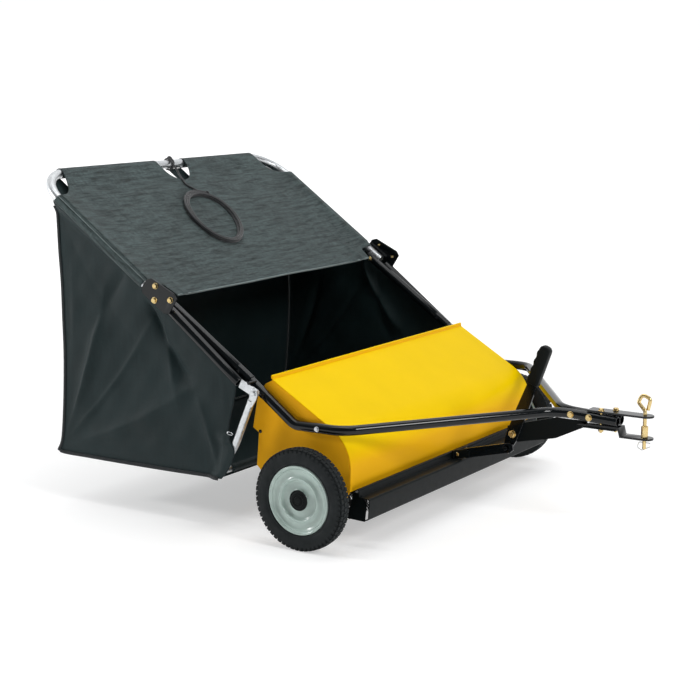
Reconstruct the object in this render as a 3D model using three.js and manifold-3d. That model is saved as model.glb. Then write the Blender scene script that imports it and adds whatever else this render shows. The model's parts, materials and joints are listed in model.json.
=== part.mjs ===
// Towed lawn sweeper, 38 inch sweeping width. Millimetres, +X forward (towing direction), +Z up.
import * as THREE from 'three';
import { mergeVertices } from 'three/addons/utils/BufferGeometryUtils.js';
import Module from 'manifold-3d';

const wasm = await Module();
wasm.setup();

// ---- driving dimensions; the wheel axle is at x = 0 until everything is centred at the end ----
const GAP = 0.3;
const WHEEL_R = 127;
const AXLE_Z = WHEEL_R;
const TYRE_INNER_Y = 538;
const TYRE_OUTER_Y = 578;
const RIM_R = 86;
const RIM_INNER_Y = 541;
const RIM_FACE_Y = 570;
const RIM_WEB = 5;
const HUB_R = 24;
const AXLE_R = 8;
const HUB_CAP_R = 20;

const RING_TEETH = 40;
const PINION_TEETH = 8;
const RING_PITCH_R = 62.5;
const PINION_PITCH_R = 12.5;
const PINION_Y = [-559.6, -546];
const GEAR_CENTRES = RING_PITCH_R - PINION_PITCH_R;
const GEAR_ANGLE = 171 * Math.PI / 180;
const BRUSH_X = GEAR_CENTRES * Math.cos(GEAR_ANGLE);
const BRUSH_Z = AXLE_Z + GEAR_CENTRES * Math.sin(GEAR_ANGLE);
const BRUSH_R = 122;
const BRUSH_CORE_R = 30;
const BRUSH_ROWS = 6;
const BRUSH_SECTIONS = 3;
const BRUSH_END_Y = 458;
const SHAFT_R = 8;
const SHAFT_END_Y = 560;

const HOUSING_Y = 482;
const SHEET = 2.5;
const FLANGE = 17;

const TUBE_R = 12.5;
const DRAWBAR_Y = 497;
const DRAWBAR_Z = 292;
const HITCH_TUBE_Y = 13.2;
const TUBE_END_X = 579;
const SIDE_BOLT_X = 12;
const ARM_JOINT = [-212, 402.5];
const HOPPER_PIVOT = [-459, 573];
const ARM_OVERRUN = 16;
const BOLT_R = 4;
const BOLT_HEAD_R = 7;
const PIVOT_R = 5;

const STRAP = 5;
const STRAP_W = 38;
const HITCH_TIP_X = 668;
const PIN_X = 645;
const PIN_R = 4.8;
const SPACER_R = 7.5;
const SPACER_H = 28;

const LEVER_PIVOT = [281, 214];
const LEVER_TOP = [374, 452];
const LEVER_FOOT = 42;
const LEVER_W = 34;
const LEVER_T = 6;
const LEVER_Y = 0.5;
const LINK_PIN = [152, 147];
const LINK_W = 26;
const STRUT_Y = 8;

const HOPPER_Y = 524;
const HOPPER_SLOPE = 0.7094;
const REAR_TUBE = [-870, 869.1];
const HOPPER_TUBE_END_X = -444;
const HOPPER_CORNER_R = 112;
const PLATE_T = 4;
const PLATE_Y = HOPPER_Y + TUBE_R + 0.5;
const LOWER_TUBE_START = [-427, 552.6];
const LOWER_TUBE_END = [-210, 386];
const HOOK_BOLT = [-161, 364.4];
const LOWER_FRAME_R = 9.5;
const LOWER_FRAME_CORNER = [-270, 150];
const BAG_WALL = 3;
const BAG_Y = 521.5;
const BAG_FLOOR_Z = 135;
const BAG_REAR = [-806, BAG_FLOOR_Z];
const ROPE_R = 3;
const REAR_EXTREME_X = REAR_TUBE[0] - TUBE_R;
const X_MID = (HITCH_TIP_X + REAR_EXTREME_X) / 2;

// ---- colours ----
const paint = (color, roughness, metalness) => ({ color, roughness, metalness });
const YELLOW = paint(0xedc000, 0.35, 0.1);
const BLACK = paint(0x15171a, 0.3, 0.3);
const ZINC = paint(0xb9bdbf, 0.4, 0.8);
const BRASS = paint(0xc9a64a, 0.4, 0.8);
const RUBBER = paint(0x1c1d1f, 0.85, 0);
const RIM = paint(0xb9c7c0, 0.5, 0);
const FABRIC = paint(0x3c4648, 0.9, 0);
const BRISTLE = paint(0x26282a, 0.8, 0);
const GREY_PLASTIC = paint(0x3a3d40, 0.6, 0);

// ---- solids ----
function toManifold(geometry) {
  const bare = geometry.clone();
  bare.deleteAttribute('normal');
  bare.deleteAttribute('uv');
  const welded = mergeVertices(bare, 1e-4);
  return new wasm.Manifold(new wasm.Mesh({
    numProp: 3,
    vertProperties: new Float32Array(welded.attributes.position.array),
    triVerts: new Uint32Array(welded.index.array),
  }));
}

function fromManifold(solid) {
  const mesh = solid.getMesh();
  const geometry = new THREE.BufferGeometry();
  geometry.setAttribute('position', new THREE.BufferAttribute(mesh.vertProperties, 3));
  geometry.setIndex(new THREE.BufferAttribute(mesh.triVerts, 1));
  return geometry;
}

function signedVolume(geometry) {
  const p = geometry.attributes.position;
  const index = geometry.index;
  let volume = 0;
  const a = new THREE.Vector3();
  const b = new THREE.Vector3();
  const c = new THREE.Vector3();
  for (let i = 0; i < index.count; i += 3) {
    a.fromBufferAttribute(p, index.getX(i));
    b.fromBufferAttribute(p, index.getX(i + 1));
    c.fromBufferAttribute(p, index.getX(i + 2));
    volume += a.dot(b.cross(c)) / 6;
  }
  return volume;
}

// Welds the corners and turns the faces outward.
function closed(geometry) {
  const bare = geometry.clone();
  bare.deleteAttribute('normal');
  bare.deleteAttribute('uv');
  const welded = mergeVertices(bare, 1e-4);
  if (signedVolume(welded) < 0) {
    const index = welded.index;
    for (let i = 0; i < index.count; i += 3) {
      const swap = index.getX(i + 1);
      index.setX(i + 1, index.getX(i + 2));
      index.setX(i + 2, swap);
    }
  }
  return welded;
}

const union = (...parts) => fromManifold(parts.map((p) => toManifold(closed(p))).reduce((a, b) => a.add(b)));

function cut(body, ...tools) {
  return fromManifold(tools.reduce((a, b) => a.subtract(toManifold(closed(b))), toManifold(closed(body))));
}

// An outline in the X-Z plane, filled between two Y values.
function slabXZ(outline, yLow, yHigh, holes = []) {
  const shape = new THREE.Shape(outline.map(([x, z]) => new THREE.Vector2(x, z)));
  for (const hole of holes) shape.holes.push(new THREE.Path(hole.map(([x, z]) => new THREE.Vector2(x, z))));
  const geometry = new THREE.ExtrudeGeometry(shape, { depth: yHigh - yLow, bevelEnabled: false });
  geometry.rotateX(Math.PI / 2);
  geometry.translate(0, yHigh, 0);
  return geometry;
}

// An outline in the X-Y plane, filled between two Z values.
function slabXY(outline, zLow, zHigh, holes = []) {
  const shape = new THREE.Shape(outline.map(([x, y]) => new THREE.Vector2(x, y)));
  for (const hole of holes) shape.holes.push(new THREE.Path(hole.map(([x, y]) => new THREE.Vector2(x, y))));
  const geometry = new THREE.ExtrudeGeometry(shape, { depth: zHigh - zLow, bevelEnabled: false });
  geometry.translate(0, 0, zLow);
  return geometry;
}

function box(x0, x1, y0, y1, z0, z1) {
  const geometry = new THREE.BoxGeometry(x1 - x0, y1 - y0, z1 - z0);
  geometry.translate((x0 + x1) / 2, (y0 + y1) / 2, (z0 + z1) / 2);
  return geometry;
}

function ring(cx, cy, radius, sides) {
  return Array.from({ length: sides }, (_, k) => {
    const angle = 2 * Math.PI * k / sides;
    return [cx + radius * Math.cos(angle), cy + radius * Math.sin(angle)];
  });
}

// A turned part about an axis along Y through (x, z); the profile is [radius, y] pairs.
function turnedY(profile, x, z, sides) {
  const geometry = new THREE.LatheGeometry(profile.map(([r, y]) => new THREE.Vector2(r, y)), sides);
  geometry.translate(x, 0, z);
  return geometry;
}

// A turned part about a vertical axis; the profile is [radius, z] pairs.
function turnedZ(profile, x, y, sides) {
  const geometry = new THREE.LatheGeometry(profile.map(([r, z]) => new THREE.Vector2(r, z)), sides);
  geometry.rotateX(Math.PI / 2);
  geometry.translate(x, y, 0);
  return geometry;
}

const rodY = (x, z, y0, y1, r, sides = 8) => turnedY([[0, y0], [r, y0], [r, y1], [0, y1]], x, z, sides);
const rodZ = (x, y, z0, z1, r, sides = 8) => turnedZ([[0, z0], [r, z0], [r, z1], [0, z1]], x, y, sides);

// A path through given stations, one tube ring at each.
class Route extends THREE.Curve {
  constructor(stations) {
    super();
    this.stations = stations;
  }

  getPoint(t) {
    const s = t * (this.stations.length - 1);
    const i = Math.min(Math.floor(s), this.stations.length - 2);
    return this.stations[i].clone().lerp(this.stations[i + 1], s - i);
  }

  getSpacedPoints() {
    return this.stations.map((p) => p.clone());
  }

  getTangentAt(u) {
    const last = this.stations.length - 1;
    const i = Math.round(u * last);
    const here = this.stations[i];
    const tangent = new THREE.Vector3();
    if (i > 0) tangent.add(here.clone().sub(this.stations[i - 1]).normalize());
    if (i < last) tangent.add(this.stations[i + 1].clone().sub(here).normalize());
    return tangent.normalize();
  }
}

const ARC_STEP = Math.PI / 10;

// Straight runs between corners, each corner rounded to its own radius.
function bentPath(corners, radii) {
  const path = [corners[0].clone()];
  for (let i = 1; i < corners.length - 1; i += 1) {
    const into = corners[i].clone().sub(corners[i - 1]).normalize();
    const outOf = corners[i + 1].clone().sub(corners[i]).normalize();
    const turn = into.angleTo(outOf);
    const radius = Array.isArray(radii) ? radii[i - 1] : radii;
    const axis = into.clone().cross(outOf).normalize();
    const start = corners[i].clone().addScaledVector(into, -radius * Math.tan(turn / 2));
    const centre = start.clone().addScaledVector(axis.clone().cross(into), radius);
    const steps = Math.max(2, Math.ceil(turn / ARC_STEP));
    for (let k = 0; k <= steps; k += 1) {
      path.push(start.clone().sub(centre).applyAxisAngle(axis, turn * k / steps).add(centre));
    }
  }
  path.push(corners[corners.length - 1].clone());
  return path;
}

function tube(stations, radius, sides = 14) {
  const shape = new THREE.Shape(ring(0, 0, radius, sides).map(([x, y]) => new THREE.Vector2(x, y)));
  return new THREE.ExtrudeGeometry(shape, { steps: stations.length - 1, extrudePath: new Route(stations) });
}

// A bent sheet seen edge on: the outline of a 2-D path thickened to both sides.
function ribbon(path, thickness) {
  const left = [];
  const right = [];
  for (let i = 0; i < path.length; i += 1) {
    const before = path[Math.max(i - 1, 0)];
    const after = path[Math.min(i + 1, path.length - 1)];
    const into = new THREE.Vector2(path[i][0] - before[0], path[i][1] - before[1]).normalize();
    const outOf = new THREE.Vector2(after[0] - path[i][0], after[1] - path[i][1]).normalize();
    const along = into.clone().add(outOf).normalize();
    const stretch = thickness / 2 / Math.max(along.dot(i > 0 ? into : outOf), 0.4);
    left.push([path[i][0] - along.y * stretch, path[i][1] + along.x * stretch]);
    right.push([path[i][0] + along.y * stretch, path[i][1] - along.x * stretch]);
  }
  return left.concat(right.reverse());
}

const group = new THREE.Group();

function add(name, geometry, look) {
  const body = closed(geometry);
  body.translate(-X_MID, 0, 0);
  body.computeVertexNormals();
  const mesh = new THREE.Mesh(body, new THREE.MeshStandardMaterial(look));
  mesh.name = name;
  group.add(mesh);
}

// Adds the part on the right (-Y) side and its mirror image on the left (+Y) side.
function addPair(name, geometry, look) {
  const mirrored = closed(geometry).applyMatrix4(new THREE.Matrix4().makeScale(1, -1, 1));
  add(`${name}_right`, geometry, look);
  add(`${name}_left`, mirrored, look);
}

const v3 = ([x, z], y) => new THREE.Vector3(x, y, z);
const flat = (stations) => stations.map((p) => [p.x, p.z]);

// ---- housing ----
const COVER_REAR = [-138, 393];
const COVER_CORNER = [91, 257];
const COVER_FRONT = [89.5, 140];
const COVER_LIP = [-140, 404];
const COVER_T = 2;
const COVER_BEND_R = 110;
const LIP_BEND_R = 3;
const COVER_PATH = flat(bentPath([
  v3(COVER_LIP, 0),
  v3(COVER_REAR, 0),
  v3(COVER_CORNER, 0),
  v3(COVER_FRONT, 0),
], [LIP_BEND_R, COVER_BEND_R]));

const ROOF_PATH = flat(bentPath([
  v3(COVER_REAR, 0),
  v3(COVER_CORNER, 0),
  v3(COVER_FRONT, 0),
], [COVER_BEND_R]));

function addCover() {
  add('cover', slabXZ(ribbon(COVER_PATH, COVER_T), -HOUSING_Y, HOUSING_Y), YELLOW);
}

// How far the side plates' lips lie under the middle of the cover sheet.
const SHIFT_IN = 2.4 + GAP;
const BEARING_R = 16;
const APRON_HALF_Y = 480;
const APRON_BOLTS_Y = [-8, 40];
const APRON_BOLT_Z = 140;

function insetCover(distance) {
  return ribbon(ROOF_PATH, 2 * distance).slice(ROOF_PATH.length).reverse();
}

function addSidePlates() {
  const roof = insetCover(SHIFT_IN - SHEET / 2);
  const outline = roof.concat([
    [62, 84],
    [-62, 84],
    [-120, 104],
    [-173, 156],
    [-188, 170],
    [-181, 255],
    [-199, 266],
    [-183, 347],
    [-160, 380],
  ]);
  const bearingHole = ring(BRUSH_X, BRUSH_Z, BEARING_R + GAP, 20);
  const pivotHole = ring(SIDE_BOLT_X, DRAWBAR_Z, BOLT_R + GAP, 12);
  const plate = slabXZ(outline, -HOUSING_Y, -HOUSING_Y + SHEET, [bearingHole, pivotHole]);
  const lip = slabXZ(ribbon(insetCover(SHIFT_IN), SHEET), -HOUSING_Y, -HOUSING_Y + FLANGE);
  addPair('side_plate', union(plate, lip), YELLOW);
}

function addApron() {
  const profile = flat(bentPath([
    v3([86, 131], 0),
    v3([112, 152], 0),
    v3([114, 130], 0),
    v3([143, 128], 0),
    v3([140, 78], 0),
    v3([130, 74], 0),
  ], [4, 3, 4, 4]));
  const sheet = slabXZ(ribbon(profile, SHEET), -APRON_HALF_Y, APRON_HALF_Y);
  const holes = APRON_BOLTS_Y.map((y) => rodAlongX(100, 150, y, APRON_BOLT_Z, BOLT_R + GAP));
  add('apron', cut(sheet, ...holes), BLACK);
}

function rodAlongX(x0, x1, y, z, radius) {
  const geometry = new THREE.CylinderGeometry(radius, radius, x1 - x0, 12);
  geometry.rotateZ(Math.PI / 2);
  geometry.translate((x0 + x1) / 2, y, z);
  return geometry;
}

function addApronBracket() {
  const face = box(115.8, 119.8, -24, 54, 132.6, 152);
  const lug = slabXZ([[119, 132.6], [138, 132.6], [160, 139], [160, 155], [150, 157], [119, 152]], -12, -7);
  const pin = rodY(LINK_PIN[0], LINK_PIN[1], -12, 2, 5);
  const bolts = APRON_BOLTS_Y.map((y) => rodAlongX(108, 124, y, APRON_BOLT_Z, BOLT_R));
  const heads = APRON_BOLTS_Y.map((y) => rodAlongX(119, 124, y, APRON_BOLT_Z, BOLT_HEAD_R));
  add('apron_bracket', union(face, lug, pin, ...bolts, ...heads), ZINC);
}

const AXLE_SHOULDER_R = 13;
const AXLE_FLANGE_R = 24;
const DUST_COVER_R = 84;

function addRunningGearMounts() {
  const axle = turnedY([
    [0, -571],
    [AXLE_R, -571],
    [AXLE_R, -530.5],
    [AXLE_SHOULDER_R, -530.5],
    [AXLE_SHOULDER_R, -488],
    [AXLE_FLANGE_R, -488],
    [AXLE_FLANGE_R, -482.3],
    [0, -482.3],
  ], 0, AXLE_Z, 20);
  addPair('axle', axle, ZINC);
  const bore = SHAFT_R + GAP;
  const bearing = turnedY([
    [bore, -487],
    [22, -487],
    [22, -482.3],
    [BEARING_R, -482.3],
    [BEARING_R, -474],
    [bore, -474],
    [bore, -487],
  ], BRUSH_X, BRUSH_Z, 20);
  addPair('brush_bearing', bearing, GREY_PLASTIC);
  const holes = [ring(0, AXLE_Z, AXLE_R + GAP, 20), ring(BRUSH_X, BRUSH_Z, SHAFT_R + 2, 16)];
  addPair('dust_cover', slabXZ(ring(0, AXLE_Z, DUST_COVER_R, 28), -534.2, -531, holes), BLACK);
}

// ---- wheels ----
const DISH_R = 52;
const DRUM_R = 76;

function addWheels() {
  const shoulder = 7;
  const bead = 3;
  const tyre = [
    [RIM_R + GAP, -TYRE_INNER_Y - bead],
    [RIM_R + 2 * bead, -TYRE_INNER_Y],
    [WHEEL_R - 2 * shoulder, -TYRE_INNER_Y],
    [WHEEL_R - bead, -TYRE_INNER_Y - shoulder],
    [WHEEL_R, -TYRE_INNER_Y - 2 * shoulder],
    [WHEEL_R, -TYRE_OUTER_Y + 2 * shoulder],
    [WHEEL_R - bead, -TYRE_OUTER_Y + shoulder],
    [WHEEL_R - 2 * shoulder, -TYRE_OUTER_Y],
    [RIM_R + 2 * bead, -TYRE_OUTER_Y],
    [RIM_R + GAP, -TYRE_OUTER_Y + bead],
    [RIM_R + GAP, -TYRE_INNER_Y - bead],
  ];
  addPair('tyre', turnedY(tyre, 0, AXLE_Z, 36), RUBBER);
  const web = -RIM_FACE_Y + RIM_WEB;
  const bore = AXLE_R + GAP;
  const hubFace = -RIM_FACE_Y - 1.5;
  const rim = [
    [bore, hubFace],
    [HUB_R, hubFace],
    [HUB_R, -RIM_FACE_Y + 3],
    [DISH_R - 4, web],
    [DISH_R, -RIM_FACE_Y],
    [70, -RIM_FACE_Y],
    [77, -RIM_FACE_Y - 2],
    [RIM_R, -RIM_FACE_Y - 4],
    [RIM_R, -RIM_INNER_Y],
    [DRUM_R, -RIM_INNER_Y],
    [DRUM_R, web],
    [DISH_R, web],
    [DISH_R - 2, web + 4],
    [HUB_R, web + 4],
    [HUB_R, -RIM_INNER_Y],
    [bore, -RIM_INNER_Y],
    [bore, hubFace],
  ];
  const teeth = ringGearOutline();
  const gear = slabXZ(ring(0, AXLE_Z, DRUM_R + 2, 32), -RIM_FACE_Y + 3, -544, [teeth]);
  addPair('rim', union(turnedY(rim, 0, AXLE_Z, 36), gear), RIM);
  const cap = [[0, -577.5], [14, -577.5], [HUB_CAP_R, -575], [HUB_CAP_R, -571.8], [0, -571.8]];
  addPair('hub_cap', turnedY(cap, 0, AXLE_Z, 20), BLACK);
}

// The inner edge of the ring gear, with a space centred on the line to the brush shaft.
function ringGearOutline() {
  const pitch = 2 * Math.PI / RING_TEETH;
  const tip = RING_PITCH_R - 1.5;
  const root = RING_PITCH_R + 3.3;
  const points = [];
  for (let k = 0; k < RING_TEETH; k += 1) {
    const middle = GEAR_ANGLE + (k + 0.5) * pitch;
    for (const [r, half] of [[root, -3], [tip, -1.3], [tip, 1.3], [root, 3]]) {
      const angle = middle + half / r;
      points.push([r * Math.cos(angle), AXLE_Z + r * Math.sin(angle)]);
    }
  }
  return points;
}

function pinionOutline() {
  const pitch = 2 * Math.PI / PINION_TEETH;
  const tip = PINION_PITCH_R + 1.7;
  const root = PINION_PITCH_R - 2.3;
  const points = [];
  for (let k = 0; k < PINION_TEETH; k += 1) {
    const middle = GEAR_ANGLE + k * pitch;
    for (const [r, half] of [[root, -2.4], [tip, -1.1], [tip, 1.1], [root, 2.4]]) {
      const angle = middle + half / r;
      points.push([BRUSH_X + r * Math.cos(angle), BRUSH_Z + r * Math.sin(angle)]);
    }
  }
  return points;
}

// ---- brush ----
const ROW_ROOT_HALF = 7;
const ROW_TIP_HALF = 13;
const BRUSH_SECTION_GAP = 4;

function brushOutline(turn) {
  const row = [
    [BRUSH_CORE_R, -ROW_ROOT_HALF],
    [BRUSH_R, -ROW_TIP_HALF],
    [BRUSH_R, 0],
    [BRUSH_R, ROW_TIP_HALF],
    [BRUSH_CORE_R, ROW_ROOT_HALF],
  ];
  const points = [];
  for (let k = 0; k < BRUSH_ROWS; k += 1) {
    const middle = turn + 2 * Math.PI * k / BRUSH_ROWS;
    for (const [r, half] of row) {
      const angle = middle + half / r;
      points.push([BRUSH_X + r * Math.cos(angle), BRUSH_Z + r * Math.sin(angle)]);
    }
  }
  return points;
}

function addBrush() {
  add('brush_shaft', rodY(BRUSH_X, BRUSH_Z, -SHAFT_END_Y, SHAFT_END_Y, SHAFT_R, 16), ZINC);
  const bore = ring(BRUSH_X, BRUSH_Z, SHAFT_R + GAP, 16);
  const pitch = 2 * BRUSH_END_Y / BRUSH_SECTIONS;
  for (let k = 0; k < BRUSH_SECTIONS; k += 1) {
    const low = -BRUSH_END_Y + k * pitch;
    const turn = 2 * Math.PI * k / BRUSH_ROWS / BRUSH_SECTIONS;
    const high = low + pitch - BRUSH_SECTION_GAP;
    add(`brush_section_${k + 1}`, slabXZ(brushOutline(turn), low, high, [bore]), BRISTLE);
  }
  addPair('pinion', slabXZ(pinionOutline(), PINION_Y[0], PINION_Y[1], [bore]), ZINC);
}

// ---- drawbar ----
const DRAWBAR_CORNERS = [
  v3([ARM_JOINT[0] + GAP, ARM_JOINT[1] - GAP], -DRAWBAR_Y),
  v3([-62, DRAWBAR_Z - 1], -DRAWBAR_Y),
  v3([78, DRAWBAR_Z], -DRAWBAR_Y),
  v3([415, DRAWBAR_Z + 1], -HITCH_TUBE_Y),
  v3([TUBE_END_X, DRAWBAR_Z - 7], -HITCH_TUBE_Y),
];

const DRAWBAR_BENDS = [42, 70, 90];

// The height of the tubes' centre along the straight run at the hitch.
const HITCH_RUN_X = 415;
const HITCH_RUN_DROP = 8;
const tubeZ = (x) => DRAWBAR_Z + 1 - HITCH_RUN_DROP * (x - HITCH_RUN_X) / (TUBE_END_X - HITCH_RUN_X);

const CROSS_BOLTS = [456, 506];
const STRAP_BOLTS = [[534, -HITCH_TUBE_Y], [562, HITCH_TUBE_Y]];
const STRAP_TOP_Z = 302.5;
const STRAP_LOW_Z = 271.5;
const JAW_LOW_Z = 248.5;
const BOLT_CLEAR = 0.5;

// A short lug on each tube keeps the hopper's hook fitting down when the hopper rests.
const STOP_LUG = [-176.3, 387.9];
const STOP_LUG_R = 4;
const STOP_LUG_END_Y = 531;

function addDrawbarTubes() {
  const lug = rodY(STOP_LUG[0], STOP_LUG[1], -STOP_LUG_END_Y, -DRAWBAR_Y, STOP_LUG_R, 12);
  const body = union(tube(bentPath(DRAWBAR_CORNERS, DRAWBAR_BENDS), TUBE_R), lug);
  const bore = BOLT_R + BOLT_CLEAR;
  const holes = [rodY(SIDE_BOLT_X, DRAWBAR_Z, -540, -460, bore)];
  for (const x of CROSS_BOLTS) holes.push(rodY(x, tubeZ(x), -60, 60, bore));
  const strapHoles = STRAP_BOLTS.map(([x, y]) => rodZ(x, y, 250, 330, bore));
  const right = cut(body, ...holes, strapHoles[0]);
  const mirror = new THREE.Matrix4().makeScale(1, -1, 1);
  const left = cut(cut(body, ...holes).applyMatrix4(mirror), strapHoles[1]);
  add('drawbar_tube_right', right, BLACK);
  add('drawbar_tube_left', left, BLACK);
  const headed = turnedY([
    [0, -515],
    [BOLT_HEAD_R, -515],
    [BOLT_HEAD_R, -510],
    [BOLT_R, -510],
    [BOLT_R, -473],
    [0, -473],
  ], SIDE_BOLT_X, DRAWBAR_Z, 12);
  addPair('side_bolt', headed, BRASS);
}

function addHopperArms() {
  const [px, pz] = HOPPER_PIVOT;
  const along = new THREE.Vector2(px - ARM_JOINT[0], pz - ARM_JOINT[1]).normalize();
  const top = [px + along.x * ARM_OVERRUN, pz + along.y * ARM_OVERRUN];
  const foot = [ARM_JOINT[0] + along.x * GAP, ARM_JOINT[1] + along.y * GAP];
  const body = tube([v3(foot, -DRAWBAR_Y), v3(top, -DRAWBAR_Y)], TUBE_R);
  addPair('hopper_arm', cut(body, rodY(px, pz, -540, -460, PIVOT_R + GAP, 12)), BLACK);
}

function strapOutline(x0, x1) {
  const half = STRAP_W / 2;
  const nose = Array.from({ length: 9 }, (_, k) => {
    const angle = -Math.PI / 2 + Math.PI * k / 8;
    return [x1 - half + half * Math.cos(angle), half * Math.sin(angle)];
  });
  return [[x0, -half], ...nose, [x0, half]];
}

const STRAP_REAR_X = 497;
const CROSS_HEAD_R = 7.5;
const STRAP_HEAD_R = 6.5;

// A bolt through both tubes, with its head on the right and its nut on the left.
function crossBolt(x) {
  return turnedY([
    [0, -34],
    [CROSS_HEAD_R, -34],
    [CROSS_HEAD_R, -28.5],
    [BOLT_R, -28.5],
    [BOLT_R, 28.5],
    [CROSS_HEAD_R, 28.5],
    [CROSS_HEAD_R, 34],
    [0, 34],
  ], x, tubeZ(x), 12);
}

// A bolt down through the upper strap, one tube, the lower strap and the strut's foot.
function strapBolt(x, y) {
  return turnedZ([
    [0, 313],
    [STRAP_HEAD_R, 313],
    [STRAP_HEAD_R, 308],
    [BOLT_R, 308],
    [BOLT_R, 256],
    [0, 256],
  ], x, y, 12);
}

function addHitch() {
  const pinHole = ring(PIN_X, 0, PIN_R + GAP, 16);
  const boltHoles = STRAP_BOLTS.map(([x, y]) => ring(x, y, BOLT_R + GAP, 12));
  const holes = [pinHole, ...boltHoles];
  const upperOutline = strapOutline(STRAP_REAR_X, HITCH_TIP_X);
  add('hitch_strap_upper', slabXY(upperOutline, STRAP_TOP_Z, STRAP_TOP_Z + STRAP, holes), BLACK);
  const backZ = STRAP_LOW_Z - STRAP / 2;
  const profile = ribbon([
    [STRAP_REAR_X, backZ],
    [582, backZ],
    [588, JAW_LOW_Z],
    [HITCH_TIP_X, JAW_LOW_Z],
  ], STRAP);
  const stepped = toManifold(closed(slabXZ(profile, -STRAP_W / 2, STRAP_W / 2)));
  const plan = toManifold(closed(slabXY(strapOutline(STRAP_REAR_X - 7, HITCH_TIP_X), 200, 320, holes)));
  add('hitch_strap_lower', fromManifold(stepped.intersect(plan)), BLACK);
  CROSS_BOLTS.forEach((x, k) => add(`hitch_bolt_${k + 1}`, crossBolt(x), BRASS));
  STRAP_BOLTS.forEach(([x, y], k) => add(`strap_bolt_${k + 1}`, strapBolt(x, y), BRASS));
}

function addHitchPin() {
  const stations = bentPath([
    new THREE.Vector3(PIN_X, 0, 222),
    new THREE.Vector3(PIN_X, 0, 318),
    new THREE.Vector3(PIN_X - 22, 8, 336),
    new THREE.Vector3(PIN_X - 14, 14, 356),
    new THREE.Vector3(PIN_X + 8, 14, 346),
    new THREE.Vector3(PIN_X + 2, 13, 318),
  ], [8, 9, 9, 9]);
  const hole = rodAlongX(PIN_X - 10, PIN_X + 10, 0, 238, 1.7);
  add('hitch_pin', cut(tube(stations, PIN_R, 8), hole), BRASS);
  const low = JAW_LOW_Z + STRAP / 2 + 0.4;
  const high = low + SPACER_H;
  const bore = PIN_R + GAP;
  const sleeve = [[bore, low], [SPACER_R, low], [SPACER_R, high], [bore, high], [bore, low]];
  add('hitch_spacer', turnedZ(sleeve, PIN_X, 0, 20), BRASS);
  const clip = bentPath([
    new THREE.Vector3(PIN_X + 16, 0, 238),
    new THREE.Vector3(PIN_X - 14, 0, 238),
    new THREE.Vector3(PIN_X - 18, 0, 224),
    new THREE.Vector3(PIN_X - 8, 6, 216),
    new THREE.Vector3(PIN_X + 14, 6, 228),
  ], [5, 5, 5]);
  add('hair_clip', tube(clip, 1.3, 8), ZINC);
}

// ---- brush height gear ----
const LEVER_END = 248;
const LEVER_END_HALF = 9;
const GRIP_Y = [-9, 16];
const GRIP_BUMPS = 4;
const STEPS_PER_BUMP = 4;
const GRIP_SPAN = [150, 244];

function addHeightGear() {
  const pivotHole = ring(LEVER_PIVOT[0], LEVER_PIVOT[1], PIVOT_R + GAP, 14);
  const strut = slabXZ([
    [486, 270.7],
    [486, 258],
    [400, 216],
    [290, 192],
    [262, 197],
    [262, 232],
    [300, 244],
    [400, 270.7],
  ], STRUT_Y, STRUT_Y + STRAP, [pivotHole]);
  const foot = slabXY([[470, -19], [575, -19], [575, 19], [470, 19]], 260.5, 265.5,
    STRAP_BOLTS.map(([x, y]) => ring(x, y, BOLT_R + GAP, 12)));
  add('strut', union(strut, foot), BLACK);
  const bolt = turnedY([
    [0, -7],
    [9, -7],
    [9, 0.2],
    [PIVOT_R, 0.2],
    [PIVOT_R, 13.4],
    [8, 13.4],
    [8, 19],
    [0, 19],
  ], LEVER_PIVOT[0], LEVER_PIVOT[1], 12);
  add('lever_bolt', bolt, BRASS);
  const [px, pz] = LEVER_PIVOT;
  const along = new THREE.Vector2(LEVER_TOP[0] - px, LEVER_TOP[1] - pz).normalize();
  const at = (s, w) => [px + along.x * s + along.y * w, pz + along.y * s - along.x * w];
  const half = LEVER_W / 2;
  const bar = slabXZ([
    at(-LEVER_FOOT - 14, -8),
    at(-LEVER_FOOT - 14, 8),
    at(-12, half),
    at(60, half),
    at(LEVER_END, LEVER_END_HALF),
    at(LEVER_END, -LEVER_END_HALF),
    at(60, -half),
    at(-12, -half),
  ], LEVER_Y, LEVER_Y + LEVER_T, [pivotHole]);
  const footPoint = at(-LEVER_FOOT, 0);
  const footPin = rodY(footPoint[0], footPoint[1], -12, LEVER_Y + 2, PIVOT_R);
  add('lever_bar', union(bar, footPin), BLACK);
  const gripBody = slabXZ(gripOutline(at), GRIP_Y[0], GRIP_Y[1]);
  const socketHalf = LEVER_END_HALF + 0.4;
  const socket = slabXZ([
    at(140, -14),
    at(140, 14),
    at(LEVER_END + 1, socketHalf),
    at(LEVER_END + 1, -socketHalf),
  ], LEVER_Y - GAP, LEVER_Y + LEVER_T + GAP);
  add('lever_grip', cut(gripBody, socket), BLACK);
  addLink(footPoint);
}

// The moulded grip: smooth front edge, four finger bumps on the rear edge.
function gripOutline(at) {
  const [foot, head] = GRIP_SPAN;
  const points = [at(foot, 17), at(head, 15), at(254, 9), at(256, -6), at(250, -14)];
  const steps = GRIP_BUMPS * STEPS_PER_BUMP;
  for (let k = 0; k <= steps; k += 1) {
    const s = head + (foot - head) * k / steps;
    points.push(at(s, -15 - 3 * Math.sin(Math.PI * (k % STEPS_PER_BUMP) / STEPS_PER_BUMP)));
  }
  return points;
}

// The link from the apron bracket; its upper hole has play, because the linkage is open there.
const LINK_HOLE_R = 9;

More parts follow.
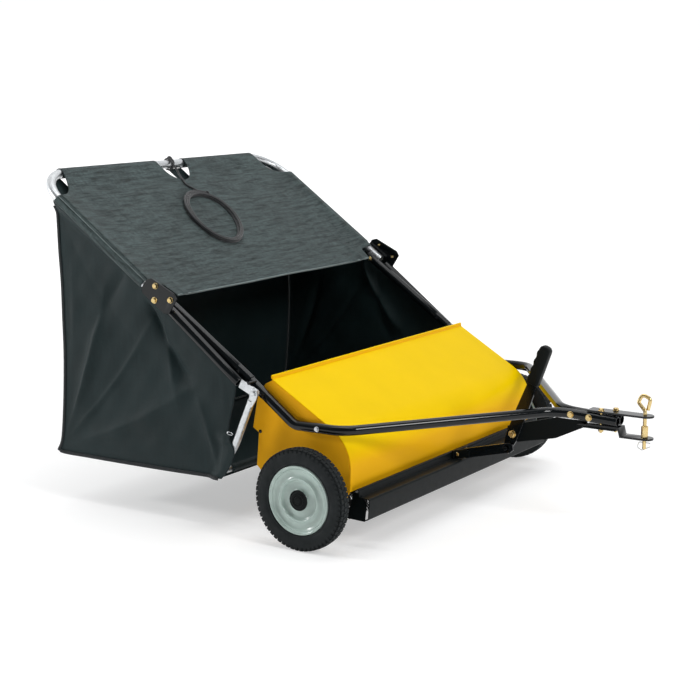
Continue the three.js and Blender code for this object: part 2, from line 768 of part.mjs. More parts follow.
function addLink(footPoint) {
  const [dx, dz] = LINK_PIN;
  const along = new THREE.Vector2(footPoint[0] - dx, footPoint[1] - dz);
  const length = along.length();
  along.normalize();
  const at = (s, w) => [dx + along.x * s - along.y * w, dz + along.y * s + along.x * w];
  const half = LINK_W / 2;
  const outline = [
    at(-half, -6),
    at(-7, -half),
    at(length + 10, -half),
    at(length + 20, -8),
    at(length + 20, 8),
    at(length + 10, half),
    at(-7, half),
    at(-half, 6),
  ];
  const openHole = ring(0, 0, LINK_HOLE_R, 14).map(([s, w]) => at(length + s, w));
  add('height_link', slabXZ(outline, -6.5, -0.5, [ring(dx, dz, PIVOT_R + GAP, 14), openHole]), BLACK);
}

// ---- hopper frame ----
const hopperZ = (x) => REAR_TUBE[1] + (REAR_TUBE[0] - x) * HOPPER_SLOPE;

const UPPER_FRAME_PATH = bentPath([
  v3([HOPPER_TUBE_END_X, hopperZ(HOPPER_TUBE_END_X)], -HOPPER_Y),
  v3(REAR_TUBE, -HOPPER_Y),
  v3(REAR_TUBE, HOPPER_Y),
  v3([HOPPER_TUBE_END_X, hopperZ(HOPPER_TUBE_END_X)], HOPPER_Y),
], HOPPER_CORNER_R);

const LOWER_FRAME_TOP = [-172, 344.4];
const LOWER_FRAME_BEND = [-221, 229];
const LOWER_FRAME_PATH = bentPath([
  v3(LOWER_FRAME_TOP, -HOPPER_Y),
  v3(LOWER_FRAME_BEND, -HOPPER_Y),
  v3(LOWER_FRAME_CORNER, -HOPPER_Y),
  v3(LOWER_FRAME_CORNER, HOPPER_Y),
  v3(LOWER_FRAME_BEND, HOPPER_Y),
  v3(LOWER_FRAME_TOP, HOPPER_Y),
], [60, 24, 24, 60]);

const PLATE_BOLTS = [[-454.8, 609.6], [-407.7, 577]];

function addHopperFrame() {
  const pivotHole = rodY(HOPPER_PIVOT[0], HOPPER_PIVOT[1], -600, 600, PIVOT_R + GAP, 14);
  add('hopper_upper_frame', cut(tube(UPPER_FRAME_PATH, TUBE_R), pivotHole), ZINC);
  const lowerEnds = [v3(LOWER_TUBE_START, -HOPPER_Y), v3(LOWER_TUBE_END, -HOPPER_Y)];
  addPair('lower_side_tube', tube(lowerEnds, TUBE_R), BLACK);
  const outline = [
    [-500, 603],
    [-484, 624],
    [-468, 628],
    [-396, 594],
    [-388, 580],
    [-413, 542],
    [-430, 541],
    [-499, 589],
  ];
  const plateOut = -PLATE_Y - PLATE_T;
  const hole = ring(HOPPER_PIVOT[0], HOPPER_PIVOT[1], PIVOT_R + GAP, 14);
  const plate = slabXZ(outline, plateOut, -PLATE_Y, [hole]);
  const heads = PLATE_BOLTS.map(([x, z]) => rodY(x, z, plateOut - 5, -PLATE_Y - 1, BOLT_HEAD_R));
  addPair('pivot_plate', union(plate, ...heads), BLACK);
  const bolt = turnedY([
    [0, plateOut - 6],
    [8, plateOut - 6],
    [8, plateOut - GAP],
    [PIVOT_R, plateOut - GAP],
    [PIVOT_R, -478],
    [0, -478],
  ], HOPPER_PIVOT[0], HOPPER_PIVOT[1], 14);
  addPair('pivot_bolt', bolt, BRASS);
}

function addLowerFrame() {
  const body = tube(LOWER_FRAME_PATH, LOWER_FRAME_R, 14);
  const [bx, bz] = HOOK_BOLT;
  const boltHole = ring(bx, bz, BOLT_R + GAP, 12);
  const tabs = [-1, 1].map((side) => {
    const y = side * (HOPPER_Y + 4.6);
    return slabXZ([
      [bx - 20, bz - 30],
      [bx, bz - 34],
      [bx + 11, bz - 4],
      [bx + 9, bz + 9],
      [bx - 6, bz + 11],
      [bx - 12, bz],
    ], y - 2, y + 2, [boltHole]);
  });
  add('hopper_lower_frame', union(body, ...tabs), ZINC);
  const dir = new THREE.Vector2(bx - LOWER_TUBE_END[0], bz - LOWER_TUBE_END[1]).normalize();
  const at = (s, w) => [LOWER_TUBE_END[0] + dir.x * s - dir.y * w, LOWER_TUBE_END[1] + dir.y * s + dir.x * w];
  const reach = Math.hypot(bx - LOWER_TUBE_END[0], bz - LOWER_TUBE_END[1]);
  const fitting = slabXZ([
    at(5, -11),
    at(reach + 4, -11),
    at(reach + 11, -4),
    at(reach + 11, 5),
    at(reach + 5, 11),
    at(5, 11),
  ], -HOPPER_Y - 2, -HOPPER_Y + 2, [boltHole]);
  addPair('hook_fitting', fitting, ZINC);
  const bolt = turnedY([
    [0, -537],
    [BOLT_HEAD_R, -537],
    [BOLT_HEAD_R, -531],
    [BOLT_R, -531],
    [BOLT_R, -512],
    [0, -512],
  ], bx, bz, 12);
  addPair('hook_bolt', bolt, BRASS);
}

// ---- bag ----
const BAG_TOP_LIFT = 2;
const BAG_HEM_X = -451;
const BAG_HEM_FOOT = [-446, 562];
const ARM_RELIEF_R = 22;
const ARM_RELIEF_Y = 476;
const BAG_MOUTH_X = -100;
const BAG_TUBE_CLEAR = 0.8;
const ROOF_SLANT = Math.hypot(1, HOPPER_SLOPE);
const TONGUE_HALF_Y = 425;
const TONGUE_ROOT_X = -790;
const TONGUE_ROOT_Y = 480;
const TONGUE_MIDDLE_X = -825;
const TONGUE_MIDDLE_Y = 440;
const ROPE_NOTCH_Y = 28;
const ROPE_NOTCH_R = 62;
const topLine = (x, drop) => [x, hopperZ(x) + drop];
const along = (a, b, share) => [a[0] + (b[0] - a[0]) * share, a[1] + (b[1] - a[1]) * share];

// The upper frame's path with its front ends run on, so that its groove leaves the panel's edge open.
const UPPER_GROOVE_PATH = bentPath([
  v3(topLine(HOPPER_TUBE_END_X + 30, 0), -HOPPER_Y),
  v3(REAR_TUBE, -HOPPER_Y),
  v3(REAR_TUBE, HOPPER_Y),
  v3(topLine(HOPPER_TUBE_END_X + 30, 0), HOPPER_Y),
], HOPPER_CORNER_R);

function addBag() {
  const wall = BAG_WALL;
  const outline = [
    topLine(BAG_HEM_X, BAG_TOP_LIFT),
    topLine(-798, BAG_TOP_LIFT),
    [-786, 640],
    [-784, 400],
    BAG_REAR,
    [-259, BAG_FLOOR_Z],
    [-259, 141],
    LOWER_FRAME_CORNER,
    LOWER_FRAME_BEND,
    LOWER_FRAME_TOP,
    LOWER_TUBE_END,
    BAG_HEM_FOOT,
  ];
  const hollow = [
    topLine(BAG_MOUTH_X, BAG_TOP_LIFT - wall * ROOF_SLANT),
    topLine(-795, BAG_TOP_LIFT - wall * ROOF_SLANT),
    [-783, 640],
    [-781, 400],
    [-802, BAG_FLOOR_Z + wall],
    [BAG_MOUTH_X, BAG_FLOOR_Z + wall],
  ];
  const groove = (radius) => tube(UPPER_GROOVE_PATH, radius, 12);
  const outer = cut(slabXZ(outline, -BAG_Y, BAG_Y), groove(TUBE_R + BAG_TUBE_CLEAR));
  const inner = cut(slabXZ(hollow, -BAG_Y + wall, BAG_Y - wall), groove(TUBE_R + BAG_TUBE_CLEAR + wall));
  const frameGroove = tube(LOWER_FRAME_PATH, LOWER_FRAME_R + BAG_TUBE_CLEAR, 14);
  const lowerGrooves = [-1, 1].map((side) => tube([
    v3(along(LOWER_TUBE_START, LOWER_TUBE_END, -0.2), side * HOPPER_Y),
    v3(along(LOWER_TUBE_START, LOWER_TUBE_END, 1.15), side * HOPPER_Y),
  ], TUBE_R + BAG_TUBE_CLEAR, 12));
  const reliefs = [[-BAG_Y - 1, -ARM_RELIEF_Y], [ARM_RELIEF_Y, BAG_Y + 1]].map(([low, high]) => (
    rodY(HOPPER_PIVOT[0], HOPPER_PIVOT[1], low, high, ARM_RELIEF_R, 20)));
  const shell = cut(outer, inner, frameGroove, ...lowerGrooves, ...reliefs);
  add('bag', union(shell, topTongue()), FABRIC);
}

// The top panel carries on past the rear panel to the rear cross tube, with cut-outs at both corners
// and a round notch near the middle where the rope is tied.
function topTongue() {
  const rearX = REAR_TUBE[0] + TUBE_R + 1;
  const plan = slabXY([
    [TONGUE_ROOT_X, -TONGUE_ROOT_Y],
    [TONGUE_MIDDLE_X, -TONGUE_MIDDLE_Y],
    [rearX, -TONGUE_HALF_Y],
    [rearX, TONGUE_HALF_Y],
    [TONGUE_MIDDLE_X, TONGUE_MIDDLE_Y],
    [TONGUE_ROOT_X, TONGUE_ROOT_Y],
  ], 700, 950);
  const notch = slabXY(ring(rearX, ROPE_NOTCH_Y, ROPE_NOTCH_R, 28), 690, 960);
  const underside = BAG_TOP_LIFT - BAG_WALL * ROOF_SLANT;
  const slice = slabXZ([
    topLine(TONGUE_ROOT_X + 5, BAG_TOP_LIFT),
    topLine(rearX - 20, BAG_TOP_LIFT),
    topLine(rearX - 20, underside),
    topLine(TONGUE_ROOT_X + 5, underside),
  ], -BAG_Y, BAG_Y);
  const cutToPlan = toManifold(closed(slice)).intersect(toManifold(closed(plan)));
  return fromManifold(cutToPlan.subtract(toManifold(closed(notch))));
}

// ---- rope ----
const ROPE_CLEAR = 0.4;
const ROPE_WRAP_TURNS = 1.35;
const ROPE_WRAP_STEPS = 20;
const ROPE_WRAP_Y = [40, 30];
const ROPE_RUN = [
  [-838, 24, 8],
  [-822, 18, ROPE_R + 1],
  [-800, 11, ROPE_R + ROPE_CLEAR],
  [-780, 6, ROPE_R + ROPE_CLEAR],
  [-767, 3.5, ROPE_R + ROPE_CLEAR],
];
const COIL_OUTER = [120, 95];
const COIL_INNER = [98, 73];
const COIL_DEPTH = 13;
const COIL_TURN = -0.54;
const COIL_CENTRE = [-668, -22];
const panelPoint = (x, y, lift) => {
  const normal = new THREE.Vector2(HOPPER_SLOPE, 1).normalize();
  return new THREE.Vector3(x + normal.x * lift, y, hopperZ(x) + BAG_TOP_LIFT + normal.y * lift);
};

function addRope() {
  const wrapR = TUBE_R + ROPE_R + 0.6;
  const leaveAngle = 0.9;
  const [wrapStartY, wrapEndY] = ROPE_WRAP_Y;
  const stations = [];
  for (let k = 0; k <= ROPE_WRAP_STEPS; k += 1) {
    const share = k / ROPE_WRAP_STEPS;
    const angle = leaveAngle + 2 * Math.PI * ROPE_WRAP_TURNS * (1 - share);
    stations.push(new THREE.Vector3(
      REAR_TUBE[0] + wrapR * Math.sin(angle),
      wrapStartY + (wrapEndY - wrapStartY) * share,
      REAR_TUBE[1] + wrapR * Math.cos(angle),
    ));
  }
  for (const [x, y, lift] of ROPE_RUN) stations.push(panelPoint(x, y, lift));
  add('rope', tube(stations, ROPE_R, 8), BLACK);
  const coil = new THREE.Shape(ellipse(COIL_OUTER).map(([x, y]) => new THREE.Vector2(x, y)));
  coil.holes.push(new THREE.Path(ellipse(COIL_INNER).map(([x, y]) => new THREE.Vector2(x, y))));
  const geometry = new THREE.ExtrudeGeometry(coil, { depth: COIL_DEPTH, bevelEnabled: false });
  geometry.rotateZ(COIL_TURN);
  geometry.rotateY(Math.atan(HOPPER_SLOPE));
  const seat = panelPoint(...COIL_CENTRE, ROPE_CLEAR);
  geometry.translate(seat.x, seat.y, seat.z);
  add('rope_coil', geometry, BLACK);
}

function ellipse([a, b]) {
  return ring(0, 0, 1, 28).map(([c, s]) => [a * c, b * s]);
}

const BOTTOM_ROD_R = 4;
const BOTTOM_ROD_FRONT_X = -292;
const BOTTOM_ROD_REAR_X = -793;

function addBottomRod() {
  const y = BAG_Y - BAG_WALL - 5.5;
  const z = BAG_FLOOR_Z + BAG_WALL + BOTTOM_ROD_R + 0.6;
  const path = bentPath([
    new THREE.Vector3(BOTTOM_ROD_FRONT_X, -y, z),
    new THREE.Vector3(BOTTOM_ROD_REAR_X, -y, z),
    new THREE.Vector3(BOTTOM_ROD_REAR_X, y, z),
    new THREE.Vector3(BOTTOM_ROD_FRONT_X, y, z),
  ], 20);
  add('bag_bottom_rod', tube(path, BOTTOM_ROD_R, 10), ZINC);
}

addCover();
addSidePlates();
addApron();
addApronBracket();
addRunningGearMounts();
addWheels();
addBrush();
addDrawbarTubes();
addHopperArms();
addHitch();
addHitchPin();
addHeightGear();
addHopperFrame();
addLowerFrame();
addBag();
addRope();
addBottomRod();

export default group;
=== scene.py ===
"""Towed lawn sweeper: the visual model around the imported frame. Metres, +X forward, +Z up."""
import bmesh
import bpy
import json
import math
import numpy as np
from mathutils import Matrix, Vector

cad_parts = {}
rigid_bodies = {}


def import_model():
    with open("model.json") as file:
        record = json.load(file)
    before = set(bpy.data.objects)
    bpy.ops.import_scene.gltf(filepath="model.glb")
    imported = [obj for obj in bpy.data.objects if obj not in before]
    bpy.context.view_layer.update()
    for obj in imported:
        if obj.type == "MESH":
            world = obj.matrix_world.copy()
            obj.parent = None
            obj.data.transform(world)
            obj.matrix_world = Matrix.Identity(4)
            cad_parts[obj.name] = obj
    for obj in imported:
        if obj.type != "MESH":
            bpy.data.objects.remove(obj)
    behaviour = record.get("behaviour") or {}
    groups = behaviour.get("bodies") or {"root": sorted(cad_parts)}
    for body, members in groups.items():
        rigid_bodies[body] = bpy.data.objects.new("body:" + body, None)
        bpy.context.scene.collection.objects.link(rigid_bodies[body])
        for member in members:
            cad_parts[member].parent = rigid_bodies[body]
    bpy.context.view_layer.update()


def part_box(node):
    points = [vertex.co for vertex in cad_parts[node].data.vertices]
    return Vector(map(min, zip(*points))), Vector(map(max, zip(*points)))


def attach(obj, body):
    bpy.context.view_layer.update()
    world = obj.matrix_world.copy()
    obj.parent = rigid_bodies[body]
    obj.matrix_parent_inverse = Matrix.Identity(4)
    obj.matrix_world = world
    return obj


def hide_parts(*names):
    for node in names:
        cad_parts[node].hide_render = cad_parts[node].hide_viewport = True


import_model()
RNG = np.random.default_rng(7)

# ---- places, in millimetres from the wheel axle, as in the part's own source ----
TYRE_LO, TYRE_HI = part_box("tyre_right")
AXLE_X = (TYRE_LO.x + TYRE_HI.x) / 2
WHEEL_R = (TYRE_HI.z - TYRE_LO.z) * 500
AXLE_Z = WHEEL_R
TUBE_R = 12.5
DRAWBAR_Y = 497
DRAWBAR_Z = 292
HITCH_TUBE_Y = 13.2
TUBE_END_X = 579
ARM_JOINT = (-212, 402.5)
HOPPER_PIVOT = (-459, 573)
ARM_OVERRUN = 16
HOPPER_Y = 524
SLOPE = 0.7094
SLOPE_ANGLE = math.atan(SLOPE)
REAR_TUBE = (-870, 869.1)
HOPPER_TUBE_END_X = -444
HOPPER_CORNER_R = 112
LOWER_TUBE = ((-427, 552.6), (-210, 386))
LOWER_FRAME_R = 9.5
LOWER_FRAME_TOP = (-172, 344.4)
LOWER_FRAME_BEND = (-221, 229)
LOWER_FRAME_CORNER = (-270, 150)
PIN_X = 645
PIN_R = 4.8
ROPE_R = 3.0
MM = 0.001
SIDES = ((-1, "right"), (1, "left"))


def at(x, y, z):
    return Vector((AXLE_X + x * MM, y * MM, z * MM))


def metres(path):
    return [at(*p) for p in path]


def row(points):
    """Points in millimetres from the axle, to an array in metres."""
    p = np.asarray(points, float) * MM
    p[..., 0] += AXLE_X
    return p


# ---- materials ----
def put(target, values):
    """Sets a node's inputs: a socket is linked, a plain value is stored."""
    for key, value in values.items():
        if isinstance(value, bpy.types.NodeSocket):
            target.id_data.links.new(value, target.inputs[key])
        else:
            target.inputs[key].default_value = value


def node(tree, kind, values, **settings):
    n = tree.nodes.new(kind)
    for key, value in settings.items():
        setattr(n, key, value)
    put(n, values)
    return n


def new_material(name):
    m = bpy.data.materials.new(name)
    m.use_nodes = True
    return m, m.node_tree, m.node_tree.nodes["Principled BSDF"]


def coordinates(tree, kind="Object"):
    return node(tree, "ShaderNodeTexCoord", {}).outputs[kind]


def ramp(tree, source, *stops):
    """A colour ramp of (place, colour); a colour may be one grey value."""
    r = node(tree, "ShaderNodeValToRGB", {"Fac": source})
    elements = r.color_ramp.elements
    while len(elements) < len(stops):
        elements.new(0.5)
    for element, (place, colour) in zip(elements, stops):
        element.position = place
        element.color = (*(colour if isinstance(colour, tuple) else (colour,) * 3), 1)
    return r.outputs["Color"]


def noise(tree, vector, scale, detail, rough=0.5):
    values = {"Vector": vector, "Scale": scale, "Detail": detail, "Roughness": rough}
    return node(tree, "ShaderNodeTexNoise", values).outputs["Fac"]


def bump(tree, height, strength, distance):
    values = {"Height": height, "Strength": strength, "Distance": distance}
    return node(tree, "ShaderNodeBump", values).outputs["Normal"]


def mixed(tree, factor, a, b, blend="MIX"):
    values = {"Factor": factor, "A": a, "B": b}
    return node(tree, "ShaderNodeMix", values, data_type="RGBA", blend_type=blend).outputs["Result"]


def highest(tree, a, b):
    return node(tree, "ShaderNodeMath", {0: a, 1: b}, operation="MAXIMUM").outputs[0]


def spread(tree, source, low, high, out_low, out_high):
    """Maps one range to another, with a soft start and end."""
    values = {"Value": source, "From Min": low, "From Max": high, "To Min": out_low, "To Max": out_high}
    return node(tree, "ShaderNodeMapRange", values, interpolation_type="SMOOTHSTEP").outputs["Result"]


def tint(colour, factor):
    return tuple(min(1.0, c * factor) for c in colour)


def painted_shade_below(tree, base, painted_shade):
    """Painted shade: the paint is mixed toward a deeper shade colour where a face turns down, away from the
    sky.
    """
    way = node(tree, "ShaderNodeSeparateXYZ", {"Vector": coordinates(tree, "Normal")})
    return mixed(tree, spread(tree, way.outputs["Z"], 0.6, -0.05, 0.0, 0.85), base, (*painted_shade, 1))


def paint(name, colour, rough, dust, spec, ior=1.5, glint=(1, 1, 1), painted_shade=None):
    """Sprayed gloss paint: faint orange peel, a little dust, scuffs in the roughness; with a shade colour
    given, painted shade on faces that turn down.
    """
    m, tree, shader = new_material(name)
    v = coordinates(tree)
    base = ramp(tree, noise(tree, v, 6, 5), (0.3, tint(colour, 0.97)), (0.7, tint(colour, 1.03)))
    scuff = noise(tree, v, 55, 8, 0.7)
    put(shader, {
        # painted shade: with a shade colour given, the base colour turns toward it on faces that turn down
        "Base Color": painted_shade_below(tree, base, painted_shade) if painted_shade else base,
        "Roughness": ramp(tree, scuff, (0.35, rough * 0.8), (0.62, rough), (0.78, rough + dust)),
        "Normal": bump(tree, noise(tree, v, 650, 2), 0.05, 0.0003),
        "Specular IOR Level": spec,
        "Specular Tint": (*glint, 1),
        "IOR": ior,
    })
    return m


def plated(name, light, dark, rough):
    """Plated steel: patches of two tones, fine drawn lines, uneven shine."""
    m, tree, shader = new_material(name)
    v = coordinates(tree)
    cloud = ramp(tree, noise(tree, v, 22, 6, 0.6), (0.3, dark), (0.7, light))
    patches = node(tree, "ShaderNodeTexVoronoi", {"Vector": v, "Scale": 90}).outputs["Distance"]
    put(shader, {
        "Base Color": mixed(tree, 0.35, cloud, ramp(tree, patches, (0.0, light), (0.9, dark))),
        "Roughness": ramp(tree, noise(tree, v, 140, 6), (0.3, rough * 0.7), (0.75, rough * 1.4)),
        "Normal": bump(tree, noise(tree, v, 700, 3), 0.15, 0.0003),
        "Metallic": 1.0,
    })
    return m


def moulded(name, colour, rough, grain, strength, spec=0.5, ior=1.5):
    """Moulded plastic or rubber: fine grain, slight bloom."""
    m, tree, shader = new_material(name)
    v = coordinates(tree)
    bloom = noise(tree, v, 14, 6, 0.6)
    put(shader, {
        "Base Color": ramp(tree, bloom, (0.3, tint(colour, 0.82)), (0.72, tint(colour, 1.2))),
        "Roughness": ramp(tree, noise(tree, v, 70, 5), (0.3, rough * 0.85), (0.7, min(1, rough * 1.12))),
        "Normal": bump(tree, noise(tree, v, grain, 3), strength, 0.0005),
        "IOR": ior,
        "Specular IOR Level": spec,
    })
    return m


# Slubs of the cloth: how the noise is stretched along and across, and how strong it is.
SLUBS = (((95, 11, 1), 1.0), ((14, 210, 1), 0.45), ((230, 30, 1), 0.7))


def woven(name, colour, threads, depth, rough, sheen, fleck, relief, slubs=0.12):
    """Woven cloth on UVs laid out in metres: warp and weft threads, flecks, faint stains, slubs, sheen."""
    m, tree, shader = new_material(name)
    uv = coordinates(tree, "UV")
    wave = {"Vector": uv, "Scale": threads, "Distortion": 0.6, "Detail": 1.0}
    yarns = [node(tree, "ShaderNodeTexWave", wave, bands_direction=way).outputs["Fac"] for way in "XY"]
    weave = highest(tree, *yarns)
    stain = noise(tree, uv, 5, 6, 0.62)
    thread = noise(tree, uv, threads * 0.9, 3, 0.7)
    base = ramp(tree, stain, (0.3, tint(colour, 0.8)), (0.72, tint(colour, 1.18)))
    base = mixed(tree, 1.0, base, ramp(tree, thread, (0.3, 1 - fleck), (0.7, 1.0)), "MULTIPLY")
    base = mixed(tree, relief, base, ramp(tree, weave, (0.2, 0.35), (0.9, 1.0)), "MULTIPLY")
    for stretch, share in SLUBS:
        stretched = node(tree, "ShaderNodeMapping", {"Vector": uv, "Scale": stretch}).outputs["Vector"]
        slub = noise(tree, stretched, 1.0, 4, 0.65)
        dark = slubs * share
        streak = ramp(tree, slub, (0.36, 1 - dark), (0.5, 1 - 0.3 * dark), (0.62, 1.0))
        base = mixed(tree, 1.0, base, streak, "MULTIPLY")
    put(shader, {
        "Base Color": base,
        "Roughness": ramp(tree, stain, (0.3, rough * 0.88), (0.7, min(1, rough * 1.08))),
        "Normal": bump(tree, weave, depth, 0.0008),
        "Sheen Weight": sheen,
        "Sheen Roughness": 0.45,
        "Specular IOR Level": 0.16,
    })
    return m


def braided(name, colour):
    """Braided cord: diagonal strands round the rope, on UVs (round, along in metres)."""
    m, tree, shader = new_material(name)
    strands = []
    for turn in (0.7, -0.7):
        values = {"Vector": coordinates(tree, "UV"), "Rotation": (0, 0, turn)}
        slant = node(tree, "ShaderNodeMapping", values).outputs["Vector"]
        strands.append(node(tree, "ShaderNodeTexWave", {"Vector": slant, "Scale": 120.0}).outputs["Fac"])
    height = highest(tree, *strands)
    put(shader, {
        "Base Color": ramp(tree, height, (0.2, tint(colour, 0.4)), (0.9, tint(colour, 1.5))),
        "Roughness": 0.75,
        "Sheen Weight": 0.3,
        "Normal": bump(tree, height, 0.6, 0.0008),
    })
    return m


# The yellow's last colour is a painted shade, mixed in on faces of the cover that turn down.
YELLOW = paint("yellow_paint", (0.88, 0.585, 0.0), 0.36, 0.0, 0.4, 1.1, (1, 0.8, 0.22), (0.86, 0.42, 0.008))
# A more orange copy of the yellow paint for the side plates: painted shade on the sides that face away from
# the light.
SHADED_SIDE_YELLOW = paint("yellow_side_paint", (0.93, 0.45, 0.012), 0.36, 0.04, 0.4, 1.2, (1.0, 0.72, 0.2))
BLACK = paint("black_paint", (0.0035, 0.005, 0.006), 0.1, 0.05, 0.34)
SATIN_BLACK = paint("satin_black_paint", (0.004, 0.006, 0.0065), 0.4, 0.06, 0.4, 1.2)
ZINC = plated("zinc_plate", (0.72, 0.74, 0.75), (0.50, 0.52, 0.54), 0.34)
BRASS = plated("yellow_zinc", (0.80, 0.64, 0.33), (0.60, 0.43, 0.17), 0.28)
TYRE = moulded("tyre_rubber", (0.0085, 0.0115, 0.0125), 0.72, 500, 0.35, 0.25)
RIM = moulded("rim_plastic", (0.42, 0.52, 0.48), 0.2, 600, 0.04)
PLASTIC = moulded("black_plastic", (0.006, 0.0075, 0.0075), 0.42, 700, 0.2, 0.4, 1.2)
BRISTLE = moulded("bristles", (0.007, 0.008, 0.009), 0.6, 300, 0.3)
SIDE_CLOTH = woven("bag_side_cloth", (0.0125, 0.0265, 0.0285), 260, 0.35, 0.5, 0.04, 0.2, 0.3)
TOP_CLOTH = woven("bag_top_cloth", (0.118, 0.164, 0.165), 130, 0.7, 0.8, 0.12, 0.4, 0.6, 0.62)
# Light cloth for the front hem and the side strips, much lighter than the top cloth: a painted highlight
# along those edges.
HIGHLIGHT_HEM_CLOTH = woven("bag_hem_cloth", (0.20, 0.25, 0.25), 200, 0.5, 0.7, 0.2, 0.2, 0.4)
WEBBING = woven("bag_webbing", (0.022, 0.027, 0.030), 420, 0.5, 0.7, 0.2, 0.2, 0.5)
THREAD = moulded("stitching", (0.09, 0.10, 0.10), 0.7, 900, 0.3)
ROPE = braided("rope_cord", (0.016, 0.017, 0.019))


# ---- meshes ----
def piece(name, mesh, look, body, slot=None, replaces=(), sharp=40, smooth=True):
    """One piece of the machine from a mesh: its look, the body it rides on and the node it stands for."""
    mesh.materials.clear()
    mesh.materials.append(look)
    obj = bpy.data.objects.new(name, mesh)
    bpy.context.scene.collection.objects.link(obj)
    if smooth:
        mesh.polygons.foreach_set("use_smooth", [True] * len(mesh.polygons))
        mesh.set_sharp_from_angle(angle=math.radians(sharp))
    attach(obj, body)
    if replaces:
        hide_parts(*replaces)
    return obj


def make(name, verts, faces, look, body, uv=None, **settings):
    mesh = bpy.data.meshes.new(name)
    mesh.from_pydata([tuple(map(float, v)) for v in verts], [], faces)
    mesh.validate()
    if uv is not None:
        index = np.zeros(len(mesh.loops), np.int32)
        mesh.loops.foreach_get("vertex_index", index)
        mesh.uv_layers.new(name="UVMap").data.foreach_set("uv", np.asarray(uv, float)[index].ravel())
    return piece(name, mesh, look, body, **settings)


def weld(mesh, doubles=1e-6):
    """Welds doubled corners and turns the faces outward."""
    bm = bmesh.new()
    bm.from_mesh(mesh)
    bmesh.ops.remove_doubles(bm, verts=bm.verts, dist=doubles)
    bmesh.ops.dissolve_degenerate(bm, edges=bm.edges, dist=1e-7)
    bmesh.ops.recalc_face_normals(bm, faces=bm.faces)
    bm.to_mesh(mesh)
    bm.free()


def roll_edges(obj, width, angle):
    """Rolled edges wherever two faces meet at more than the angle."""
    edge = obj.modifiers.new("edge", "BEVEL")
    edge.width = width * MM
    edge.segments = 2
    edge.limit_method = "ANGLE"
    edge.angle_limit = math.radians(angle)


def thicken(obj, thickness):
    cloth = obj.modifiers.new("cloth", "SOLIDIFY")
    cloth.thickness = thickness * MM
    cloth.offset = -1


def turns(count, start=0.0):
    return [start + 2 * math.pi * k / count for k in range(count)]


def grid_faces(rows, columns, wrap=False, flip=False):
    faces = []
    for i in range(rows - 1):
        for j in range(columns if wrap else columns - 1):
            a = i * columns + j
            b = i * columns + (j + 1) % columns
            face = (a, b, b + columns, a + columns)
            faces.append(face[::-1] if flip else face)
    return faces


def closed_faces(rows, columns):
    """Rings joined into a skin, with the first and last ring filled."""
    last = (rows - 1) * columns
    ends = [tuple(reversed(range(columns))), tuple(range(last, last + columns))]
    return grid_faces(rows, columns, wrap=True) + ends


def add_block(verts, faces, points, columns):
    """Adds one small closed block, given ring by ring, to a growing mesh."""
    base = len(verts)
    faces += [tuple(base + i for i in face) for face in closed_faces(len(points) // columns, columns)]
    verts += points


def bent(corners, radii, step=5):
    """Straight runs between corners, each corner rounded to its radius in steps of so many degrees."""
    corners = [Vector(c) for c in corners]
    radii = radii if isinstance(radii, tuple) else (radii,) * (len(corners) - 2)
    path = [corners[0]]
    for before, corner, after, radius in zip(corners, corners[1:], corners[2:], radii):
        into = (corner - before).normalized()
        out_of = (after - corner).normalized()
        turn = into.angle(out_of)
        axis = into.cross(out_of).normalized()
        start = corner - into * radius * math.tan(turn / 2)
        centre = start + axis.cross(into) * radius
        steps = max(3, math.ceil(turn / math.radians(step)))
        for k in range(steps + 1):
            path.append(Matrix.Rotation(turn * k / steps, 3, axis) @ (start - centre) + centre)
    return [tuple(p) for p in path + [corners[-1]]]


def tangents_of(path):
    ways = [(b - a).normalized() for a, b in zip(path, path[1:])]
    return [ways[0]] + [(a + b).normalized() for a, b in zip(ways, ways[1:])] + [ways[-1]]


def rings(path, tangents, radii, sides, caps=True):
    """Rings along a path, carried without twist. Returns vertices, faces and UVs (round, along)."""
    side = tangents[0].orthogonal().normalized()
    verts = []
    uv = []
    along = 0.0
    for i, (p, t, r) in enumerate(zip(path, tangents, radii)):
        side = (side - t * side.dot(t)).normalized()
        other = t.cross(side)
        along += (p - path[max(i - 1, 0)]).length
        for angle in turns(sides):
            verts.append(p + (side * math.cos(angle) + other * math.sin(angle)) * r)
            uv.append((r * angle, along))
    faces = closed_faces(len(path), sides) if caps else grid_faces(len(path), sides, wrap=True)
    return verts, faces, uv


def sweep(path, radius, sides, caps=True):
    return rings(path, tangents_of(path), [radius * MM] * len(path), sides, caps)


def rod(name, path, radius, look, body, sides=28, caps=True, **settings):
    """A round bar or cord along a path in metres; the radius is in millimetres."""
    verts, faces, uv = sweep(path, radius, sides, caps)
    return make(name, verts, faces, look, body, uv, **settings)


TUBE_WALL = 1.8 * MM
BORE_DEPTH = 25 * MM


def tube(name, path, look, body, node_name):
    """A steel tube in millimetres: bent path, open ends with a wall and a dark bore."""
    stations = metres(path)
    ways = tangents_of(stations)
    start, end = stations[0], stations[-1]
    first, last = ways[0], ways[-1]
    lip = TUBE_WALL * 0.4
    full = [start + first * BORE_DEPTH, start, start, start + first * lip] + stations[1:-1]
    full += [end - last * lip, end, end, end - last * BORE_DEPTH]
    r = TUBE_R * MM
    mouth = [r - TUBE_WALL, r - TUBE_WALL, r - 0.3 * TUBE_WALL, r]
    radii = mouth + [r] * (len(stations) - 2) + mouth[::-1]
    verts, faces, uv = rings(full, [first] * 3 + ways + [last] * 3, radii, 40)
    return make(name, verts, faces, look, body, uv, replaces=(node_name,))


